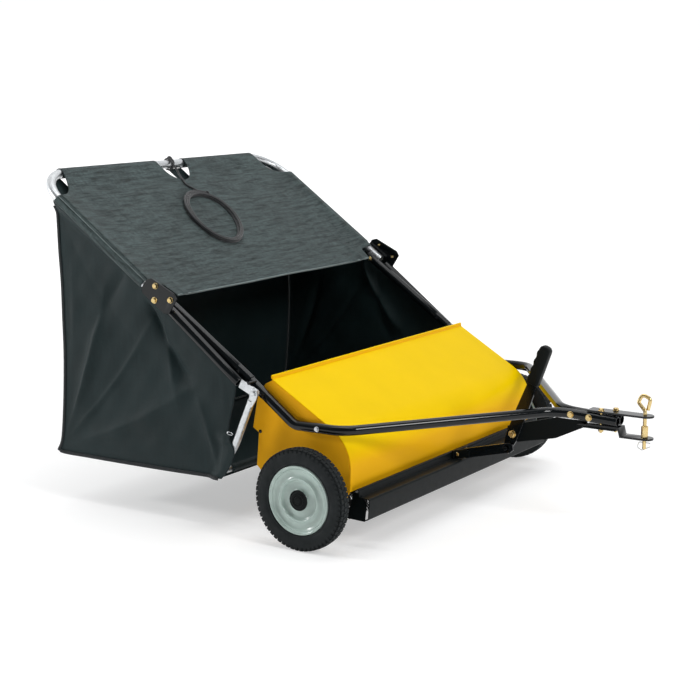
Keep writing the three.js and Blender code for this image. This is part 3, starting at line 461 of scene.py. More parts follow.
def turned(name, profile, centre, look, body, axis="Y", segments=72, start=0.0, sharp=35, **settings):
    """A turned piece; profile is (radius, place along the axis) in millimetres, from axis to axis."""
    points = []
    for r, s in profile:
        for angle in turns(segments, start):
            x, y = centre[0] + r * math.cos(angle), centre[1] + r * math.sin(angle)
            points.append({"X": (s, x, y), "Y": (x, s, y), "Z": (x, y, s)}[axis])
    count = len(profile)
    ring = profile[0] == profile[-1]
    faces = grid_faces(count, segments, wrap=True) if ring else closed_faces(count, segments)
    obj = make(name, row(points), faces, look, body, sharp=sharp, **settings)
    weld(obj.data)
    return obj


def plate(name, outline, y0, y1, look, body, bevel, **settings):
    """A flat outline in x and z with thickness and softly bevelled edges, in millimetres."""
    points = [(x, y, z) for y in (y0, y1) for x, z in outline]
    obj = make(name, row(points), closed_faces(2, len(outline)), look, body, sharp=30, **settings)
    weld(obj.data)
    roll_edges(obj, bevel, 25)
    return obj


def refined(cad, name, look, body, bevel, angle=28, slot=None):
    """A copy of a CAD solid with merged flat faces and rolled edges; it stands for the node."""
    mesh = bpy.data.objects[cad].data.copy()
    mesh.name = name
    bm = bmesh.new()
    bm.from_mesh(mesh)
    bmesh.ops.remove_doubles(bm, verts=bm.verts, dist=2e-6)
    bmesh.ops.dissolve_limit(bm, angle_limit=math.radians(1.0), verts=bm.verts, edges=bm.edges)
    bmesh.ops.recalc_face_normals(bm, faces=bm.faces)
    bm.to_mesh(mesh)
    bm.free()
    obj = piece(name, mesh, look, body, slot, (cad,), sharp=34)
    roll_edges(obj, bevel, angle)
    return obj


def merge(objects, name, *replaced):
    """Joins pieces of one body and material into one, which may stand for a node."""
    bpy.ops.object.select_all(action="DESELECT")
    for o in objects:
        for modifier in list(o.modifiers):
            bpy.context.view_layer.objects.active = o
            bpy.ops.object.modifier_apply(modifier=modifier.name)
        o.select_set(True)
    bpy.context.view_layer.objects.active = objects[0]
    bpy.ops.object.join()
    objects[0].name = name
    if replaced:
        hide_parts(*replaced)
    return objects[0]


def hex_bolt(name, centre, axis, head, span, body, across, look=BRASS, nut=True, replaces=()):
    """A hex bolt in millimetres: head and washer face at one end, nut and thread at the other. centre is
    its place off the axis; head and span are where the undersides of head and nut sit."""
    r = across / 2 / math.cos(math.pi / 6)
    shank = across * 0.3
    out = 1 if head > span else -1

    def part(word, profile, segments, **settings):
        full_name = f"{name}_{word}"
        return turned(full_name, profile, centre, look, body, axis, segments, slot="yellow_zinc", **settings)

    def hexagon(word, base, height):
        shape = ((0.88, 0), (1, 0.12), (1, 0.82), (0.86, 1))
        return part(word, [(r * a, base + height * b) for a, b in shape], 6, start=0.3, smooth=False)

    parts = [hexagon("head", head + out * 1.4, out * across * 0.42)]
    low, high = sorted((head + out * 1.4, head))
    washer = [(0, low), (r * 1.18, low), (r * 1.22, (low + high) / 2), (r * 1.18, high), (0, high)]
    parts.append(part("washer", washer, 28))
    low, high = sorted((head, span - out * across * 0.75))
    body_line = [(0, low), (shank * 0.8, low), (shank, low + 1), (shank, high), (0, high)]
    parts.append(part("shank", body_line, 20))
    if nut:
        parts.append(hexagon("nut", span, -out * across * 0.5))
    return merge(parts, name, *replaces)


# ---- camera, floor and light ----
CAMERA_AZ = math.radians(32.648)
CAMERA_EL = math.radians(10.221)
CAMERA_PLACE = (2.25825, -3.700, 1.179)
FOCAL_PX = 1629.66
FRAME_PX = 700
SENSOR_MM = 36


def add_camera():
    a, e = CAMERA_AZ, CAMERA_EL
    back = Vector((math.sin(a) * math.cos(e), -math.cos(a) * math.cos(e), math.sin(e)))
    right = Vector((math.cos(a), math.sin(a), 0))
    data = bpy.data.cameras.new("camera")
    data.sensor_width = SENSOR_MM
    data.lens = FOCAL_PX / FRAME_PX * SENSOR_MM
    camera = bpy.data.objects.new("camera", data)
    bpy.context.scene.collection.objects.link(camera)
    turn = Matrix((right, back.cross(right), back)).transposed().to_4x4()
    camera.matrix_world = Matrix.Translation(Vector(CAMERA_PLACE)) @ turn
    bpy.context.scene.camera = camera


def add_light(name, place, size, power, aim=(0, 0, 0.3)):
    data = bpy.data.lights.new(name, "AREA")
    data.energy = power
    data.size = size
    lamp = bpy.data.objects.new(name, data)
    bpy.context.scene.collection.objects.link(lamp)
    lamp.location = place
    lamp.rotation_euler = (Vector(aim) - Vector(place)).to_track_quat("-Z", "Y").to_euler()
    return lamp


FLOOR_WHITE = 0.66
FLOOR_GLOW = 0.45
FLOOR_FAR_GLOW = 0.85


def add_floor():
    """A white floor that glows more with distance from the machine, as in a studio shot."""
    bpy.ops.mesh.primitive_plane_add(size=40, location=(0, 0, 0))
    floor = bpy.context.object
    floor.name = "floor"
    m, tree, shader = new_material("floor")
    v = coordinates(tree)
    away = node(tree, "ShaderNodeVectorMath", {0: v}, operation="LENGTH").outputs["Value"]
    put(shader, {
        "Base Color": ramp(tree, noise(tree, v, 3, 3), (0.3, FLOOR_WHITE - 0.02), (0.7, FLOOR_WHITE)),
        "Roughness": 0.7,
        "Specular IOR Level": 0.2,
        "Emission Color": (1, 1, 1, 1),
        "Emission Strength": spread(tree, away, 1.5, 4.5, FLOOR_GLOW, FLOOR_FAR_GLOW),
    })
    floor.data.materials.append(m)


def add_studio():
    add_floor()
    add_light("key", (3.7, -1.0, 2.7), 1.2, 69)
    add_light("overhead", (0.1, 0.3, 3.3), 2.2, 26)
    add_light("rake", (-2.7, -1.75, 1.35), 0.4, 34, (-0.4, -0.52, 0.4))
    strip = add_light("strip", (0.2, -0.9, 2.9), 3.0, 11)
    strip.data.shape = "RECTANGLE"
    strip.data.size_y = 0.22
    strip.rotation_euler = (0, 0, 0)
    add_studio_world()
    bpy.context.scene.view_settings.view_transform = "Standard"


BACKDROP_WAY = (-0.54, 0.84, 0.12)
ROOM_DARK = 0.10
BACKDROP_BRIGHT = 1.02


def add_studio_world():
    """A white backdrop behind the machine that fades to a dim room behind the camera."""
    world = bpy.data.worlds.new("studio")
    world.use_nodes = True
    tree = world.node_tree
    ways = {0: coordinates(tree, "Generated"), 1: BACKDROP_WAY}
    facing = node(tree, "ShaderNodeVectorMath", ways, operation="DOT_PRODUCT").outputs["Value"]
    put(tree.nodes["Background"], {
        "Color": (0.99, 0.995, 1.0, 1),
        "Strength": spread(tree, facing, -0.35, 0.6, ROOM_DARK, BACKDROP_BRIGHT),
    })
    bpy.context.scene.world = world


# ---- the plane of the bag's top ----
def hopper_z(x):
    return REAR_TUBE[1] + (REAR_TUBE[0] - x) * SLOPE


DOWN = np.array([math.cos(SLOPE_ANGLE), 0, -math.sin(SLOPE_ANGLE)])
NORMAL = np.array([math.sin(SLOPE_ANGLE), 0, math.cos(SLOPE_ANGLE)])
ACROSS = np.array([0.0, 1.0, 0.0])


def on_top(x, y, lift):
    """A point over the plane of the upper tubes' centres; lift is along the plane's normal."""
    return np.array([x, y, hopper_z(x)]) + NORMAL * lift


# ---- pull rope ----
ROPE_KNOT_Y = 40
ROPE_WRAP_STEP = 10
ROPE_WRAP_TURNS = 1.1
ROPE_WRAP_POINTS = 24
ROPE_WRAP_R = TUBE_R + ROPE_R + 0.6
ROPE_LIFT = 6.0
ROPE_RUN = ((-838, 24, 10.5), (-822, 18, 7.6), (-802, 11, ROPE_LIFT), (-782, 8, ROPE_LIFT))
COIL_CENTRE = (-668, -22)
COIL_TURN = -0.54
COIL_START = math.radians(176)
COIL_OUTER = (116.8, 91.8)
COIL_STEP = 6.2
COIL_LAYER_TURNS = 2.5
COIL_LAYER_RISE = 6.3
COIL_CLIMB_POINTS = 10
COIL_TURN_POINTS = 40


def rope_wrap():
    points = []
    for k in range(ROPE_WRAP_POINTS + 1):
        done = k / ROPE_WRAP_POINTS
        angle = SLOPE_ANGLE - 2 * math.pi * ROPE_WRAP_TURNS * (1 - done)
        x = REAR_TUBE[0] + ROPE_WRAP_R * math.sin(angle)
        z = REAR_TUBE[1] + ROPE_WRAP_R * math.cos(angle)
        points.append(np.array([x, ROPE_KNOT_Y - ROPE_WRAP_STEP * done, z]))
    return points


def coil_point(turned_by, inset, rise):
    """A point of the oval coil after so many turns from its start."""
    angle = COIL_START - 2 * math.pi * turned_by
    wobble = 1.6 * math.sin(3 * angle + 0.7)
    c = (COIL_OUTER[0] - inset + wobble) * math.cos(angle)
    s = (COIL_OUTER[1] - inset + wobble) * math.sin(angle)
    u = c * math.cos(COIL_TURN) - s * math.sin(COIL_TURN)
    v = c * math.sin(COIL_TURN) + s * math.cos(COIL_TURN)
    return on_top(*COIL_CENTRE, ROPE_LIFT + rise) + DOWN * u + ACROSS * v


def rope_coil():
    """Two layers: turns that close in on the panel, then turns that open out on top of them."""
    count = int(COIL_LAYER_TURNS * COIL_TURN_POINTS)
    points = []
    for k in range(count + 1):
        t = k / COIL_TURN_POINTS
        points.append(coil_point(t, COIL_STEP * t, 0))
    for k in range(1, count + 1):
        t = k / COIL_TURN_POINTS
        climb = min(1, k / COIL_CLIMB_POINTS)
        rise = COIL_LAYER_RISE * climb ** 2 * (3 - 2 * climb)
        points.append(coil_point(COIL_LAYER_TURNS + t, COIL_STEP * (COIL_LAYER_TURNS - t), rise))
    return points


def smooth_path(points, spacing):
    """A Catmull-Rom line through the points at an even spacing."""
    p = np.asarray(points, float)
    p = np.vstack([2 * p[0] - p[1], p, 2 * p[-1] - p[-2]])
    dense = []
    for i in range(1, len(p) - 2):
        for t in np.linspace(0, 1, 12, endpoint=False):
            a = 2 * p[i]
            b = (p[i + 1] - p[i - 1]) * t
            c = (2 * p[i - 1] - 5 * p[i] + 4 * p[i + 1] - p[i + 2]) * t ** 2
            d = (3 * p[i] - p[i - 1] - 3 * p[i + 1] + p[i + 2]) * t ** 3
            dense.append(0.5 * (a + b + c + d))
    dense = np.array(dense + [p[-2]])
    lengths = lengths_along(dense)
    even = np.linspace(0, lengths[-1], max(2, round(lengths[-1] / spacing)) + 1)
    return np.stack([np.interp(even, lengths, dense[:, k]) for k in range(3)], axis=1)


def lengths_along(line):
    return np.concatenate([[0], np.cumsum(np.linalg.norm(np.diff(line, axis=0), axis=1))])


def add_rope():
    route = smooth_path(rope_wrap() + [on_top(*p) for p in ROPE_RUN] + rope_coil(), 3.5)
    stations = [Vector(p) for p in row(route)]
    rope = rod("pull_rope", stations, ROPE_R, ROPE, "hopper", 12, replaces=("rope", "rope_coil"), sharp=60)
    add_knot("rope_knot", stations[0], Vector((0, 1, 0)), 5.2)
    end_way = (stations[-1] - stations[-3]).normalized()
    end = add_knot("rope_end_knot", stations[-1] + end_way * 3 * MM, end_way, 4.6)


def add_knot(name, place, way, size):
    """An overhand knot drawn tight: a short cord around a trefoil."""
    side = way.orthogonal().normalized()
    other = way.cross(side)
    points = []
    for t in turns(60):
        u = (math.sin(t) + 2 * math.sin(2 * t)) * 0.36
        v = (math.cos(t) - 2 * math.cos(2 * t)) * 0.36
        w = -math.sin(3 * t) * 0.55
        points.append(place + (side * u + other * v + way * w) * size * MM)
    return rod(name, points + [points[0]], ROPE_R * 0.95, ROPE, "hopper", 12, caps=False, sharp=60)


# ---- bag ----
CLOTH = 1.2
SLEEVE_CLOTH = 0.9
TOP_FRONT_X = -451
TOP_MIDDLE_LIFT = 1.4
TUBE_TOP_LIFT = TUBE_R + 1.0
SLEEVE_R = TUBE_R + 1.6
SIDE_SLEEVE = (-503, -789)
TONGUE_Y = 430
CORNER_CUT_Y = (TONGUE_Y, 436, 445, 455, 470, 492, HOPPER_Y)
CORNER_CUT = (REAR_TUBE[0], -852, -834, -818, -805, -794, -787)
HEM_HALF_Y = 464
HEM_RECESS = 35
NOTCH_Y = 28
NOTCH_R = 62
SEAM_IN = 26
# Creases across the top panel: place along x, half width, height.
TOP_CREASES = ((-775, 3.0, 1.0), (-742, 4.0, -1.2), (-700, 3.5, 0.7), (-610, 4.5, -0.8), (-560, 3.5, 0.9),
               (-515, 5.0, -0.9))


def smoothstep(lo, hi, value):
    t = np.clip((value - lo) / (hi - lo), 0, 1)
    return t * t * (3 - 2 * t)


def hump(offset, half):
    return np.exp(-(offset / half) ** 2)


def front_hem_x(y):
    sag = 2 * (1 - (y / HOPPER_Y) ** 2)
    return TOP_FRONT_X - sag - HEM_RECESS * smoothstep(HEM_HALF_Y - 2, HEM_HALF_Y + 10, np.abs(y))


def top_rear_x(y):
    """Where the top panel ends toward the rear tube: round notch for the rope, cut away at both corners."""
    notch = np.sqrt(np.clip(NOTCH_R ** 2 - (y - NOTCH_Y) ** 2, 0, None))
    return np.interp(np.abs(y), CORNER_CUT_Y, CORNER_CUT) + notch


def top_lift(x, y):
    """Height of the top panel over the tubes' plane: pulled over the tubes, slack in the middle."""
    out = np.abs(y)
    edge = (out / HOPPER_Y) ** 9
    rear = smoothstep(-790, REAR_TUBE[0], x) ** 1.5
    base = TOP_MIDDLE_LIFT + (TUBE_TOP_LIFT - TOP_MIDDLE_LIFT) * np.maximum(edge, rear)
    ripple = 0.9 * np.sin(x / 41 + y / 173) * np.sin(y / 97 + 0.6) + 0.5 * np.sin(x / 19 + y / 61)
    tension = 1.4 * hump(out - 420, 60) * np.sin(x / 33 + out / 29)
    seam = 0.7 * smoothstep(HOPPER_Y - SEAM_IN - 1.5, HOPPER_Y - SEAM_IN + 1.5, out)
    hem = 0.9 * smoothstep(TOP_FRONT_X - 27, TOP_FRONT_X - 24, x)
    line = out - np.interp(x, (-785, -480), (373, 432))
    relief = (ripple + tension) * 0.8
    for place, half, height in TOP_CREASES:
        bow = 5 * np.sin(y / 140 + place) + 2.0 * np.sin(y / 37 + place)
        relief = relief + height * hump(x - place - bow, half)
    relief = relief + (2.0 * hump(line, 4.5) - 1.5 * hump(line + 11, 6)) * smoothstep(-800, -770, x)
    return base + relief * (1 - edge) * (1 - rear) + seam + hem


def cloth(name, points, u, v, look=SIDE_CLOTH, flip=False):
    """A sheet of cloth from a grid of points; u and v are its UVs, all in millimetres."""
    uv = np.stack([u, v], axis=-1).reshape(-1, 2) * MM
    faces = grid_faces(*points.shape[:2], flip=flip)
    obj = make(name, row(points.reshape(-1, 3)), faces, look, "hopper", uv, sharp=70)
    thicken(obj, CLOTH)
    return obj


def top_columns():
    """Places across the top panel, closer together at the notch and where the corners are cut."""
    outer = np.linspace(TONGUE_Y + 32, HOPPER_Y, 7)
    corner = np.linspace(TONGUE_Y, TONGUE_Y + 30, 9)
    right = np.linspace(-TONGUE_Y + 12, NOTCH_Y - NOTCH_R - 8, 26)
    notch = NOTCH_Y - NOTCH_R * np.cos(np.linspace(0, math.pi, 27))
    left = np.linspace(NOTCH_Y + NOTCH_R + 8, TONGUE_Y - 12, 22)
    return np.concatenate([-outer[::-1], -corner[::-1], right, notch, left, corner, outer])


def add_bag_top():
    y, s = np.meshgrid(top_columns(), np.linspace(0, 1, 84))
    x = front_hem_x(y) + (top_rear_x(y) - front_hem_x(y)) * s
    points = np.stack([x, y, hopper_z(x)], axis=-1) + NORMAL * top_lift(x, y)[..., None]
    top = cloth("bag_top", points, (x - TOP_FRONT_X) / math.cos(SLOPE_ANGLE), y, TOP_CLOTH, flip=True)
    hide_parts("bag")
    return top


# The outline of the side panel, in x and z.
SIDE_PLANE_Y = 521.5
SIDE_FRONT = ((-500, 598), (-470, 573), (-435, 543), (-330, 462), (-240, 393), (-221, 377), (-229, 330),
              (-239, 290), (-244, 258), (-234, 237), (-217, 214), (-226, 184), (-241, 156), (-262, 134))
SIDE_REAR = ((-797, 809), (-794, 765), (-791, 677), (-786, 590), (-785, 500), (-784, 400), (-789, 290),
             (-797, 200), (-804, 160), (-820, 133))
SIDE_TOP = (SIDE_FRONT[0], (-600, hopper_z(-600) - 8), (-700, hopper_z(-700) - 8), SIDE_REAR[0])
SIDE_BOTTOM = ((-262, 134), (-330, 133), (-450, 131), (-600, 130), (-720, 130), (-790, 130), (-820, 133))
SIDE_U = 110
SIDE_V = 92


def curve_through(points, count):
    """A smooth 2-D line through points, count even steps."""
    line = smooth_path([(x, 0, z) for x, z in points], 2.0)
    places = np.arange(len(line))
    even = np.linspace(0, len(line) - 1, count)
    return np.stack([np.interp(even, places, line[:, k]) for k in (0, 2)], axis=1)


def side_patch():
    """The side panel in its own plane: u runs from the front edge to the rear, v from the top down."""
    top, bottom = (curve_through(line, SIDE_U) for line in (SIDE_TOP, SIDE_BOTTOM))
    front, rear = (curve_through(line, SIDE_V) for line in (SIDE_FRONT, SIDE_REAR))
    u = np.linspace(0, 1, SIDE_U)[None, :, None]
    v = np.linspace(0, 1, SIDE_V)[:, None, None]
    corners = (1 - v) * ((1 - u) * top[0] + u * top[-1]) + v * ((1 - u) * bottom[0] + u * bottom[-1])
    between = (1 - v) * top[None] + v * bottom[None] + (1 - u) * front[:, None] + u * rear[:, None]
    return between - corners


# Folds of the side panel: where each starts and ends (x, z), how deep it is, its width at both ends.
SIDE_FOLDS = (
    ((-812, 140), (-640, 600), 17.0, 9, 30),
    ((-808, 150), (-470, 545), 7.0, 5, 12),
    ((-806, 142), (-300, 395), 15.0, 12, 40),
    ((-790, 138), (-330, 240), 6.0, 12, 40),
    ((-806, 190), (-752, 650), 9.0, 9, 26),
    ((-500, 560), (-345, 330), -22.0, 14, 40),
    ((-450, 520), (-400, 300), 9.0, 12, 30),
    ((-262, 150), (-262, 400), 11.0, 9, 18),
    ((-275, 140), (-360, 360), 8.0, 10, 26),
    ((-560, 650), (-700, 450), -10.0, 18, 44),
)


def fold(x, z, start, end, depth, w0, w1):
    """A crest between two points that widens from w0 to w1 and dies out at both ends."""
    dx, dz = end[0] - start[0], end[1] - start[1]
    length = math.hypot(dx, dz)
    along = ((x - start[0]) * dx + (z - start[1]) * dz) / length ** 2
    off = ((x - start[0]) * -dz + (z - start[1]) * dx) / length
    inside = np.clip(along, 0, 1)
    bow = off + 0.04 * length * np.sin(math.pi * inside)
    width = w0 + (w1 - w0) * inside
    crest = np.exp(-np.sqrt((bow / width) ** 2 + 0.03) * 1.6)
    return depth * crest * smoothstep(-0.06, 0.14, along) * smoothstep(1.1, 0.62, along)


def side_y(x, z, u, v):
    """Distance of the side panel from the middle of the machine, with its folds and bulges."""
    rim = np.minimum(np.minimum(u, 1 - u), np.minimum(v, 1 - v))
    relief = 1.3 * np.sin(x / 23 + z / 31) * np.sin(z / 47 - x / 83) + 0.5 * np.sin(x / 11 - z / 17)
    for entry in SIDE_FOLDS:
        relief = relief + fold(x, z, *entry)
    y = SIDE_PLANE_Y - 9.0 * smoothstep(0.02, 0.5, rim) + relief * smoothstep(0.0, 0.16, rim)
    over_tube = 14.5 * smoothstep(0.055, 0.0, v)
    over_frame = 14.5 * smoothstep(0.1, 0.03, u) * smoothstep(258, 226, z) * smoothstep(0.4, 0.5, v)
    round_foot = 3.0 * smoothstep(0.94, 1.0, v)
    return y + np.maximum(over_tube, over_frame) - round_foot


def add_bag_side(side, word):
    patch = side_patch()
    x, z = patch[..., 0], patch[..., 1]
    u, v = np.meshgrid(np.linspace(0, 1, SIDE_U), np.linspace(0, 1, SIDE_V))
    points = np.stack([x, side * side_y(x, z, u, v), z], axis=-1)
    return cloth(f"bag_side_{word}", points, x, z, flip=side > 0), points


REAR_PROFILE = ((132, -805), (200, -797), (290, -789), (400, -784), (500, -785), (590, -786), (677, -791),
                (765, -794), (822, -797))
REAR_FOOT_Z = 132


def across_bag(rows, columns):
    """A grid of y from side to side and t from 0 to 1."""
    return np.meshgrid(np.linspace(-SIDE_PLANE_Y + 2, SIDE_PLANE_Y - 2, columns), np.linspace(0, 1, rows))


def add_bag_rear():
    y, t = across_bag(60, 100)
    z = REAR_FOOT_Z + (hopper_z(-800) - 1 - REAR_FOOT_Z) * t
    middle = np.sin(math.pi * t) * (1 - np.abs(y / SIDE_PLANE_Y) ** 6)
    folds = 4.5 * np.sin(y / 88 + 1.5 * t) + 2.2 * np.sin(y / 37 - 3 * t) * (1 - t)
    x = np.interp(z, *zip(*REAR_PROFILE)) + (14 + folds) * middle
    return cloth("bag_rear", np.stack([x, y, z], axis=-1), y, z)


FLOOR_FRONT_X = -262
FLOOR_REAR_X = -805


def add_bag_floor():
    y, t = across_bag(50, 90)
    x = FLOOR_FRONT_X + (FLOOR_REAR_X - FLOOR_FRONT_X) * t
    slack = (1 - np.abs(y / SIDE_PLANE_Y) ** 8) * np.sin(math.pi * t) ** 0.5
    z = 132.5 + (1.2 * np.sin(y / 60 + x / 90) - 5) * slack + 5 * smoothstep(-300, FLOOR_FRONT_X, x)
    return cloth("bag_floor", np.stack([x, y, z], axis=-1), x, y, flip=True)


FLAP_LIFT = -14
FLAP_INNER_X = -796
FLAPS = (("right", -516, -424), ("middle", 33, 94), ("left", 424, 516))


def flap_outer_x(y):
    """Just inside the upper frame: its straight rear run, then its rounded corners."""
    run = HOPPER_CORNER_R * math.cos(SLOPE_ANGLE)
    share = np.clip((np.abs(y) - (HOPPER_Y - HOPPER_CORNER_R)) / HOPPER_CORNER_R, 0, 0.995)
    return REAR_TUBE[0] + run - (run - 5) * np.sqrt(1 - share ** 2)


def add_rear_flaps():
    """Cloth under the upper frame, seen through the cut corners and beside the rope."""
    for word, y0, y1 in FLAPS:
        y, s = np.meshgrid(np.linspace(y0, y1, 26), np.linspace(0, 1, 20))
        x = FLAP_INNER_X + (flap_outer_x(y) - FLAP_INNER_X) * s
        lift = FLAP_LIFT - 3.0 * np.sin(math.pi * s) * np.sin(math.pi * (y - y0) / (y1 - y0))
        points = np.stack([x, y, hopper_z(x)], axis=-1) + NORMAL * lift[..., None]
        cloth(f"bag_flap_{word}", points, x, y, flip=True)


MOUTH_SLEEVE_Y = 486


def add_mouth_sleeve():
    """The floor's front edge wrapped round the lower cross tube."""
    x, z = LOWER_FRAME_CORNER
    path = metres([(x, y, z) for y in np.linspace(-MOUTH_SLEEVE_Y, MOUTH_SLEEVE_Y, 90)])
    sleeve = rod("bag_mouth_sleeve", path, LOWER_FRAME_R + 2.0, SIDE_CLOTH, "hopper", caps=False, sharp=70)
    thicken(sleeve, SLEEVE_CLOTH)


def add_sleeves():
    for side, word in SIDES:
        run = [(x, side * HOPPER_Y, hopper_z(x)) for x in np.linspace(*SIDE_SLEEVE, 60)]
        tube_sleeve(f"bag_sleeve_{word}", metres(run))
    for word, y0, y1 in (("right", -TONGUE_Y, NOTCH_Y - NOTCH_R), ("left", NOTCH_Y + NOTCH_R, TONGUE_Y)):
        run = [(REAR_TUBE[0], y, REAR_TUBE[1]) for y in np.linspace(y0, y1, 60)]
        tube_sleeve(f"bag_rear_sleeve_{word}", metres(run))


def tube_sleeve(name, path):
    """Cloth pulled round a tube: slightly uneven, open at both ends."""
    sides = 36
    verts, faces, uv = sweep(path, SLEEVE_R, sides, caps=False)
    shaped = []
    for k, v in enumerate(verts):
        i = k // sides
        angle = 2 * math.pi * (k % sides) / sides
        swell = 0.35 * math.sin(i * 0.45 + 2 * angle) + 0.2 * math.sin(i * 1.3 + 5 * angle)
        shaped.append(path[i] + (v - path[i]) * (1 + swell * 0.02))
    thicken(make(name, shaped, faces, TOP_CLOTH, "hopper", uv, sharp=70), SLEEVE_CLOTH)


def webbing(name, line, width_way, width, thickness, look=WEBBING):
    """A flat folded edge or tape along a line of points, in millimetres."""
    line = np.asarray(line, float)
    tangent = np.gradient(line, axis=0)
    tangent /= np.linalg.norm(tangent, axis=1)[:, None]
    lateral = width_way - tangent * np.sum(width_way * tangent, axis=1)[:, None]
    lateral /= np.linalg.norm(lateral, axis=1)[:, None]
    outward = np.cross(tangent, lateral)
    edge = [(-0.5, -0.5), (-0.46, -0.72), (0, -0.8), (0.46, -0.72), (0.5, -0.5)]
    section = edge + [(-a, -b) for a, b in edge]
    verts = []
    uv = []
    for i, along in enumerate(lengths_along(line)):
        for a, b in section:
            verts.append(line[i] + lateral[i] * a * width + outward[i] * b * thickness)
            uv.append((a * width * MM, along * MM))
    obj = make(name, row(verts), closed_faces(len(line), len(section)), look, "hopper", uv, sharp=60)
    weld(obj.data)
    return obj


STITCH_PITCH = 6.0
STITCH_LENGTH = 4.0
STITCH_THICK = 0.55


def stitches(name, line):
    """A row of separate stitches along a line on the top panel, standing a little proud."""
    even = smooth_path(line, STITCH_PITCH)
    verts = []
    faces = []
    for a, b in zip(even, even[1:]):
        way = (b - a) / np.linalg.norm(b - a)
        side = np.cross(way, NORMAL)
        side /= np.linalg.norm(side)
        block = []
        half = STITCH_LENGTH / 2
        for along, scale in ((-half, 0.5), (0.8 - half, 1), (half - 0.8, 1), (half, 0.5)):
            for p, q in ((-1, 0), (0, 1), (1, 0), (0, -1)):
                block.append((a + b) / 2 + way * along + (side * p + NORMAL * q) * STITCH_THICK * scale)
        add_block(verts, faces, block, 4)
    make(name, row(verts), faces, THREAD, "hopper", sharp=80)


def over_panel(x, y, lift):
    """A point just over the top panel's cloth."""
    return on_top(float(x), y, float(top_lift(x, y)) + lift)


def add_front_hem():
    hem = []
    for y in np.linspace(-HEM_HALF_Y + 4, HEM_HALF_Y - 4, 90):
        x = front_hem_x(y)
        hem.append(on_top(x - 1, y, float(top_lift(x - 4.0, y)) - 1.0))
    # The hem is in the light hem cloth: a painted highlight along the front edge.
    return webbing("bag_front_hem", hem, NORMAL, 4.6, 2.2, HIGHLIGHT_HEM_CLOTH)


# Painted highlight: a thin strip of the light hem cloth along the outer top of each side sleeve, standing for
# the light caught by the tube under the cloth.
def add_highlight_strips():
    for side, word in SIDES:
        edge = [on_top(x, side * (HOPPER_Y + 8.5), 12.0) for x in np.linspace(*SIDE_SLEEVE, 60)]
        webbing(f"bag_side_piping_{word}", edge, NORMAL + ACROSS * side, 3.0, 1.3, HIGHLIGHT_HEM_CLOTH)


def add_side_hems(side, word, points):
    foot = points[-1, 2:-1] + np.array([0, side * 1.0, 0])
    webbing(f"bag_bottom_hem_{word}", foot, np.array([0, 0, 1.0]), 9, 2.0)
    back = points[2:, -1] + np.array([-1.0, side * 0.6, 0])
    webbing(f"bag_rear_hem_{word}", back, np.array([1.0, 0, 0]), 8, 2.0)


def add_stitches():
    """Two rows along each side seam of the top panel, and one along its front hem."""
    for side, word in SIDES:
        for inset, mark in ((SEAM_IN - 4, "a"), (SEAM_IN - 12, "b")):
            y = side * (HOPPER_Y - inset)
            line = [over_panel(x, y, 0.2) for x in np.linspace(TOP_FRONT_X - HEM_RECESS - 6, -790, 60)]
            stitches(f"top_stitches_{word}_{mark}", line)
    rows = np.linspace(-HEM_HALF_Y + 8, HEM_HALF_Y - 8, 80)
    stitches("front_stitches", [over_panel(front_hem_x(y) - 22, y, 0.2) for y in rows])


def add_bag():
    top = add_bag_top()
    panels = [add_bag_side(side, word) for side, word in SIDES]
    rear = add_bag_rear()
    floor = add_bag_floor()
    add_sleeves()
    add_highlight_strips()
    front_hem = add_front_hem()
    for (side, word), (_, points) in zip(SIDES, panels):
        add_side_hems(side, word, points)
    add_stitches()
    add_mouth_sleeve()
    add_rear_flaps()


# ---- CAD nodes that stay ----
KEPT_LOOKS = {
    "axle": ZINC,
    "brush_bearing": PLASTIC,
    "dust_cover": SATIN_BLACK,
    "pinion": ZINC,
    "brush_shaft": ZINC,
}


def finish_nodes():
    """The CAD nodes that stay get their finished materials."""
    for o in bpy.data.objects:
        for start, look in KEPT_LOOKS.items():
            if o.type == "MESH" and o.name.startswith(start) and not o.hide_render:
                for slot in o.material_slots:
                    slot.material = look


# ---- housing ----
COVER_R = 110
COVER_CORNERS = ((-138, 393), (91, 257), (89.5, 140))
COVER_T = 2
COVER_ROLL = [(-139.9, 394.5), (-142.2, 396.2), (-142.6, 402.6), (-140.8, 404.6), (-138.6, 403.8),
              (-137.8, 401.6), (-137.4, 397.0)]
HOUSING_Y = 482
SCREW = (-176, 258)
APRON_BOLTS_Y = (-8, 40)
APRON_BOLT_Z = 140
APRON_BOLT_X = (124.1, 108)
APRON_END_Y = (471, 474)
APRON_END = ((72, 71), (126, 69), (131, 112), (116, 134), (92, 140), (86, 106))


def offset_path(path, distance):
    out = []
    for i, (x, z) in enumerate(path):
        a = path[max(i - 1, 0)]
        b = path[min(i + 1, len(path) - 1)]
        dx, dz = b[0] - a[0], b[1] - a[1]
        length = math.hypot(dx, dz)
        out.append((x - dz / length * distance, z + dx / length * distance))
    return out


def add_cover():
    """One folded sheet, rolled at its rear edge."""
    path = [(x, z) for x, _, z in bent([(x, 0, z) for x, z in COVER_CORNERS], COVER_R, 4)]
    inner = offset_path(path, -COVER_T / 2)
    outline = inner[::-1] + COVER_ROLL + offset_path(path, COVER_T / 2)
    plate("cover_sheet", outline, -HOUSING_Y, HOUSING_Y, YELLOW, "housing", 0.8, replaces=("cover",))


def add_screw(side, word):
    outer = HOUSING_Y + 0.2
    section = [(0, 0), (4.2, 0), (4.6, 0.5), (4.2, 1.5), (2.6, 2.3), (0, 2.5)]
    profile = [(r, side * (outer + s)) for r, s in section]
    turned(f"side_screw_{word}_{abs(SCREW[0])}", profile, SCREW, BLACK, "housing", segments=20, sharp=50)


